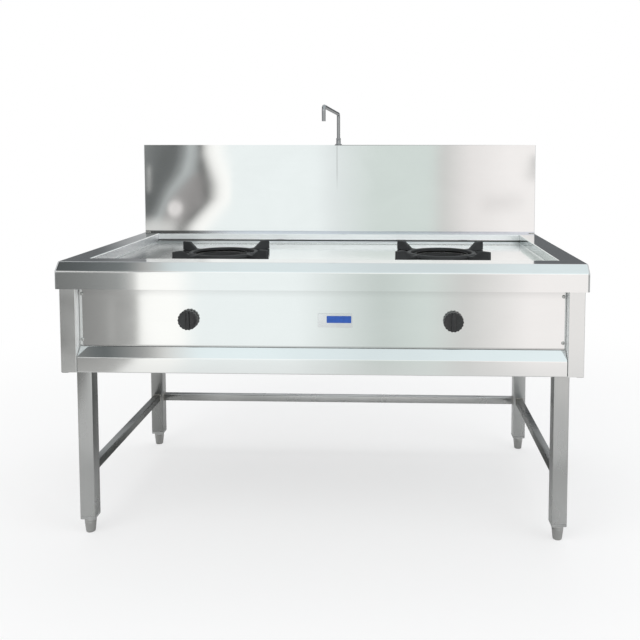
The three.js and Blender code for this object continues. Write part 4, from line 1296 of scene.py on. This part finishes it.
# The same wall at the height that the splash panel shows, right of the bright strip.
HIGH_WALL = [
    (-0.35, 0.95, COOL),
    (-0.2, 0.9, COOL),
    (0.1, 0.85, GREEN),
    (0.5, 0.85, GREEN),
    (0.6, 0.8, NEUTRAL),
    (0.8, 0.9, WARM),
    (1.1, 0.95, WARM),
]
# The ceiling as the apron's sloped nose shows it, and further forward as the rail's slope shows it.
NOSE_CEILING = [
    (-1.75, 0.25, SKY),
    (-1.2, 0.45, SKY),
    (-1.1, 0.65, NEUTRAL),
    (-0.95, 0.85, SKY),
    (-0.6, 0.9, SKY),
    (-0.2, 0.9, SKY),
    (0.15, 0.85, SKY),
    (0.55, 0.85, SKY),
    (0.85, 0.9, SKY),
]
RAIL_CEILING = [
    (-1.75, 0.6, NEUTRAL),
    (-1.45, 0.4, SKY),
    (-1.2, 0.65, NEUTRAL),
    (-1.1, 0.85, NEUTRAL),
    (-0.9, 0.95, SKY),
    (-0.5, 0.95, SKY),
    (0.1, 0.9, SKY),
    (1.1, 0.95, SKY),
]
SHEET_TONE = 0.8  # the polished sheet gives back this share
# Folds of the grey flag that the splash panel's left end shows, each a line of (z, x) points from the top.
FOLD_OUTER = [(1.11, -1.36), (0.97, -1.4), (0.83, -1.49), (0.63, -1.57), (0.55, -1.66)]
FOLD_MIDDLE = [(1.11, -1.245), (0.97, -1.27), (0.76, -1.46), (0.6, -1.52)]
FOLD_INNER = [(1.11, -1.215), (0.84, -1.165), (0.73, -1.17), (0.55, -1.36)]
FLAG_BORDER = [(1.11, -1.185), (0.88, -1.1), (0.77, -1.1), (0.54, -1.3)]
# The screen's parts.
WALL_Y = -2.3
CEILING_Z = 2.6
SCREEN_END = 2.6
FLOOR_Z = 0.002
FLAG_FLOOR = (0.56, 0.56, 0.55)
OPEN_FLOOR = (0.8, 0.805, 0.8)
STRIP_LIGHT = (1.3, 1.31, 1.3)  # a long soft light above the wall's painted part


def clamp(value):
    return max(0.0, min(1.0, value))


def ease(value, low=0.0, high=1.0):
    """0 at low and 1 at high, with a soft start and end."""
    t = clamp((value - low) / (high - low))
    return t * t * (3 - 2 * t)


def mixed(colour, other, amount):
    return [a + (b - a) * amount for a, b in zip(colour, other)]


def to_linear(c):
    return c / 12.92 if c <= 0.04045 else ((c + 0.055) / 1.055) ** 2.4


def radiance(colour):
    """What the screen must give off for the sheet to show this colour."""
    return [to_linear(min(1.0, c)) / SHEET_TONE for c in colour]


def tinted(level, tint=NEUTRAL):
    return [level * share for share in tint]


def tone_at(cards, x):
    """The colour of a row of cards at x."""
    for (x0, level0, tint0), (x1, level1, tint1) in zip(cards, cards[1:]):
        if x <= x1:
            return mixed(tinted(level0, tint0), tinted(level1, tint1), max(0.0, (x - x0) / (x1 - x0)))
    return tinted(*cards[-1][1:])


def line_at(points, z):
    """The x of a line of (z, x) points, listed downwards."""
    if z >= points[0][0]:
        return points[0][1]
    for (z0, x0), (z1, x1) in zip(points, points[1:]):
        if z >= z1:
            return x1 + (x0 - x1) * (z - z1) / (z0 - z1)
    return points[-1][1]


def near_line(x, z, start, end, width):
    """1 on the line from start to end, fading to 0 at the given width."""
    p, a, b = Vector((x, z)), Vector(start), Vector(end)
    t = clamp((p - a).dot(b - a) / (b - a).length_squared)
    return ease(1 - (p - a.lerp(b, t)).length / width)


def high_flag_tone(x, z):
    """Left end of the wall as the splash panel shows it: folds of grey cloth and a bright curved edge."""
    outer = line_at(FOLD_OUTER, z)
    middle = line_at(FOLD_MIDDLE, z)
    inner = line_at(FOLD_INNER, z)
    border = line_at(FLAG_BORDER, z)
    cards = [
        (outer - 0.28, 0.5, COOL),
        (outer - 0.13, 0.4, COOL),
        (outer - 0.04, 0.4, COOL),
        (outer + 0.035, 0.6, COOL),
        ((outer + middle) / 2, 0.75, COOL),
        (middle, 0.65, COOL),
    ]
    if inner - middle > 0.09:
        cards += [(middle + 0.04, 0.6, WARM), (inner - 0.045, 0.55, WARM)]
    cards += [
        (inner, 0.4, NEUTRAL),
        (border - 0.012, 0.75, NEUTRAL),
        (border + 0.03, 0.95, NEUTRAL),
        (border + 0.09, 1.0, NEUTRAL),
        (border + 0.2, 0.95, COOL),
    ]
    colour = tone_at(cards, x)
    below = 1 - ease(z, 0.55, 0.66)
    colour = mixed(colour, tinted(0.85), 0.85 * below * (1 - ease(x, -1.46, -1.3)))
    from_disc = math.hypot((x + 1.402) * 1.1, z - 0.69)
    colour = mixed(colour, tinted(0.95, WARM), 1 - ease(from_disc, 0.05, 0.068))
    colour = mixed(colour, tinted(0.8, WARM), 0.9 * (1 - ease(from_disc, 0.01, 0.034)))
    return mixed(colour, tinted(0.8), 0.9 * near_line(x, z, (-1.6, 1.01), (-1.602, 0.83), 0.022))


def wall_tone(x, z):
    """The tone that polished sheet shows of the wall at this place."""
    low = tone_at(LOW_WALL, x)
    if z < 0.45:
        streak = ease(z, 0.02, 0.1) * near_line(x, z, (-1.325, 0.0), (-1.33, 0.34), 0.03)
        return mixed(low, tinted(0.7), 0.75 * streak)
    shown = z - LEAN_LIFT
    high = high_flag_tone(x, shown) if x < -0.98 else tone_at(HIGH_WALL, x)
    high = mixed(high, tinted(0.7), 0.8 * near_line(x, shown, (1.255, 1.07), (1.245, 0.93), 0.05))
    high = mixed(high, tinted(0.8, WARM), 0.35 * near_line(x, shown, (0.95, 0.73), (1.12, 0.75), 0.12))
    return mixed(low, high, ease(z, 0.62, 0.74))


def screen_colour(x, y, z):
    """What the screen gives off at this place."""
    if z > 2.3:
        towards_range = clamp((y + 1.23) / 0.55)
        return radiance(mixed(tone_at(RAIL_CEILING, x), tone_at(NOSE_CEILING, x), towards_range))
    if 1.63 < z < 2.16:
        return STRIP_LIGHT
    colour = radiance(wall_tone(x, z))
    if z < 0.01:
        floor_tone = FLAG_FLOOR if x < FLAG_EDGE else OPEN_FLOOR
        colour = mixed(colour, floor_tone, 0.25 + 0.75 * clamp((y - WALL_Y) / 1.55 * 1.6))
    return colour


def screen_columns():
    """The screen's places along x, closer together at the flag, with one on each side of its sharp edge."""
    xs = []
    x = -SCREEN_END
    while x < SCREEN_END + 0.0001:
        xs.append(x)
        x += 0.0125 if -1.75 < x < -0.9 else 0.05
    return sorted({round(x, 4) for x in xs if not -1.2 < x < -1.16} | {-1.192, -1.165})


def screen_section():
    """The screen's (y, z) points: along the floor, up the wall and back over the ceiling."""
    painted = [round(0.6 + 0.0125 * k, 4) for k in range(77)]
    floor = [(y, FLOOR_Z) for y in (-0.62, -1.1, -1.5, -1.9, WALL_Y)]
    wall = [(WALL_Y, z) for z in (0.04, 0.1, 0.25, 0.42, *painted, 1.62, 1.64, 1.8, 2.15, 2.18, 2.4)]
    ceiling = [(y, CEILING_Z) for y in (-2.0, -1.6, -1.2, -0.7, -0.2, 0.3, 0.8)]
    return [*floor, *wall, (-2.22, 2.56), *ceiling]


def stage_mesh(name, vertices, faces):
    """An object for the stage and the empty node tree of its material."""
    mesh = bpy.data.meshes.new(name)
    mesh.from_pydata(vertices, [], faces)
    made = bpy.data.objects.new(name, mesh)
    scene.collection.objects.link(made)
    material = bpy.data.materials.new(name)
    material.use_nodes = True
    material.node_tree.nodes.clear()
    mesh.materials.append(material)
    return made, material.node_tree


def mix_shaders(tree, amount, one, two):
    return add_node(tree, "ShaderNodeMixShader", i0=amount, i1=one.outputs[0], i2=two.outputs[0])


def make_studio():
    """A curved screen seen only in reflections: a strip of floor, the front wall and a low ceiling."""
    xs = screen_columns()
    section = screen_section()
    vertices = [(x, y, z) for y, z in section for x in xs]
    columns = len(xs)
    faces = []
    for i in range(len(section) - 1):
        for j in range(columns - 1):
            k = i * columns + j
            faces.append((k, k + 1, k + columns + 1, k + columns))
    screen, tree = stage_mesh("studio_screen", vertices, faces)
    paint = screen.data.color_attributes.new("studio", "FLOAT_COLOR", "POINT")
    paint.data.foreach_set("color", [c for vertex in vertices for c in (*screen_colour(*vertex), 1.0)])
    tone = add_node(tree, "ShaderNodeVertexColor", {"layer_name": "studio"})
    light = add_node(tree, "ShaderNodeEmission", Color=tone.outputs["Color"], Strength=1.0)
    add_node(tree, "ShaderNodeOutputMaterial", Surface=light.outputs[0])
    screen.visible_camera = False
    screen.visible_diffuse = False
    screen.visible_transmission = False
    screen.visible_volume_scatter = False
    screen.visible_shadow = False


make_studio()


def make_floor():
    """Pale floor that takes the range's shadow and turns white further off. Reflections see it darker."""
    floor, tree = stage_mesh("floor", [(60 * x, 60 * y, 0) for x, y in rectangle(1, 1)], [(0, 1, 2, 3)])
    place = add_node(tree, "ShaderNodeTexCoord").outputs["Object"]
    distance = vector_step(tree, "LENGTH", i0=place).outputs["Value"]
    near = add_node(tree, "ShaderNodeBsdfDiffuse", Color=(0.97, 0.97, 0.97, 1))
    white = add_node(tree, "ShaderNodeEmission", Color=(1, 1, 1, 1), Strength=1.0)
    pale = mix_shaders(tree, map_range(tree, distance, 0.9, 2.7, 0.6, 1.0, smooth=True), near, white)
    workshop = add_node(tree, "ShaderNodeBsdfDiffuse", Color=(0.6, 0.6, 0.59, 1))
    path = add_node(tree, "ShaderNodeLightPath")
    both = mix_shaders(tree, path.outputs["Is Glossy Ray"], pale, workshop)
    add_node(tree, "ShaderNodeOutputMaterial", Surface=both.outputs[0])


make_floor()


def room_colour(tree):
    """The room that reflections see: pale above and at the sides, darker low down behind the range."""
    split = split_coords(tree, "Generated")
    x, y, height = split.outputs["X"], split.outputs["Y"], split.outputs["Z"]
    behind = map_range(tree, y, 0.35, 0.8, smooth=True)
    low = map_range(tree, height, 0.2, 0.5, 1.0, 0.0, smooth=True)
    rightward = map_range(tree, x, 0.345, 0.268, 0.25, 1.0, smooth=True)
    near_horizon = map_range(tree, height, 0.15, 0.105)
    leftward = map_range(tree, x, -0.04, -0.16, 0.0, 0.75)
    far_left = map_range(tree, x, -0.372, -0.318, smooth=True)
    glow = multiply(tree, multiply(tree, near_horizon, leftward), far_left)
    dark = multiply(tree, multiply(tree, behind, low), rightward)
    dark = multiply(tree, dark, calculate(tree, "SUBTRACT", 1.0, glow))
    sky = blend_colours(tree, height, (0.62, 0.63, 0.635), (0.86, 0.89, 0.92))
    sky.node.color_ramp.elements[1].position = 0.9
    return lay_over(tree, dark, sky, (0.15, 0.158, 0.165))


def make_world():
    """White to the camera, the room to reflections, and a soft light to everything else."""
    world = bpy.data.worlds.new("studio")
    scene.world = world
    world.use_nodes = True
    tree = world.node_tree
    tree.nodes.clear()
    path = add_node(tree, "ShaderNodeLightPath")
    seen = add_node(tree, "ShaderNodeBackground", Color=(1, 1, 1, 1), Strength=1.0)
    reflected = add_node(tree, "ShaderNodeBackground", Color=room_colour(tree), Strength=1.0)
    soft = add_node(tree, "ShaderNodeBackground", Color=(0.97, 0.985, 1.0, 1), Strength=0.72)
    inner = mix_shaders(tree, path.outputs["Is Glossy Ray"], soft, reflected)
    see = calculate(tree, "MAXIMUM", path.outputs["Is Camera Ray"], path.outputs["Is Transmission Ray"])
    outer = mix_shaders(tree, see, inner, seen)
    add_node(tree, "ShaderNodeOutputWorld", Surface=outer.outputs[0])


make_world()


def add_lamp(name, place, aim, size, power, colour=(1, 1, 1)):
    """A soft rectangular light that reflections don't see."""
    data = bpy.data.lights.new(name, "AREA")
    data.shape = "RECTANGLE"
    data.size, data.size_y = size
    data.energy = power
    data.color = colour
    lamp = bpy.data.objects.new(name, data)
    scene.collection.objects.link(lamp)
    lamp.location = place
    lamp.rotation_euler = (Vector(aim) - Vector(place)).to_track_quat("-Z", "Y").to_euler()
    lamp.visible_glossy = False


add_lamp("key", (-1.8, -2.4, 3.4), (0, 0, 0.6), (2.4, 2.4), 34, (1.0, 0.99, 0.97))
add_lamp("fill", (2.6, -1.6, 2.6), (0, 0, 0.6), (2.2, 2.2), 20, (0.97, 0.985, 1.0))
add_lamp("top", (0.2, 1.2, 3.6), (0, 0, 0.7), (2.6, 1.6), 20)

scene.view_settings.view_transform = "Standard"
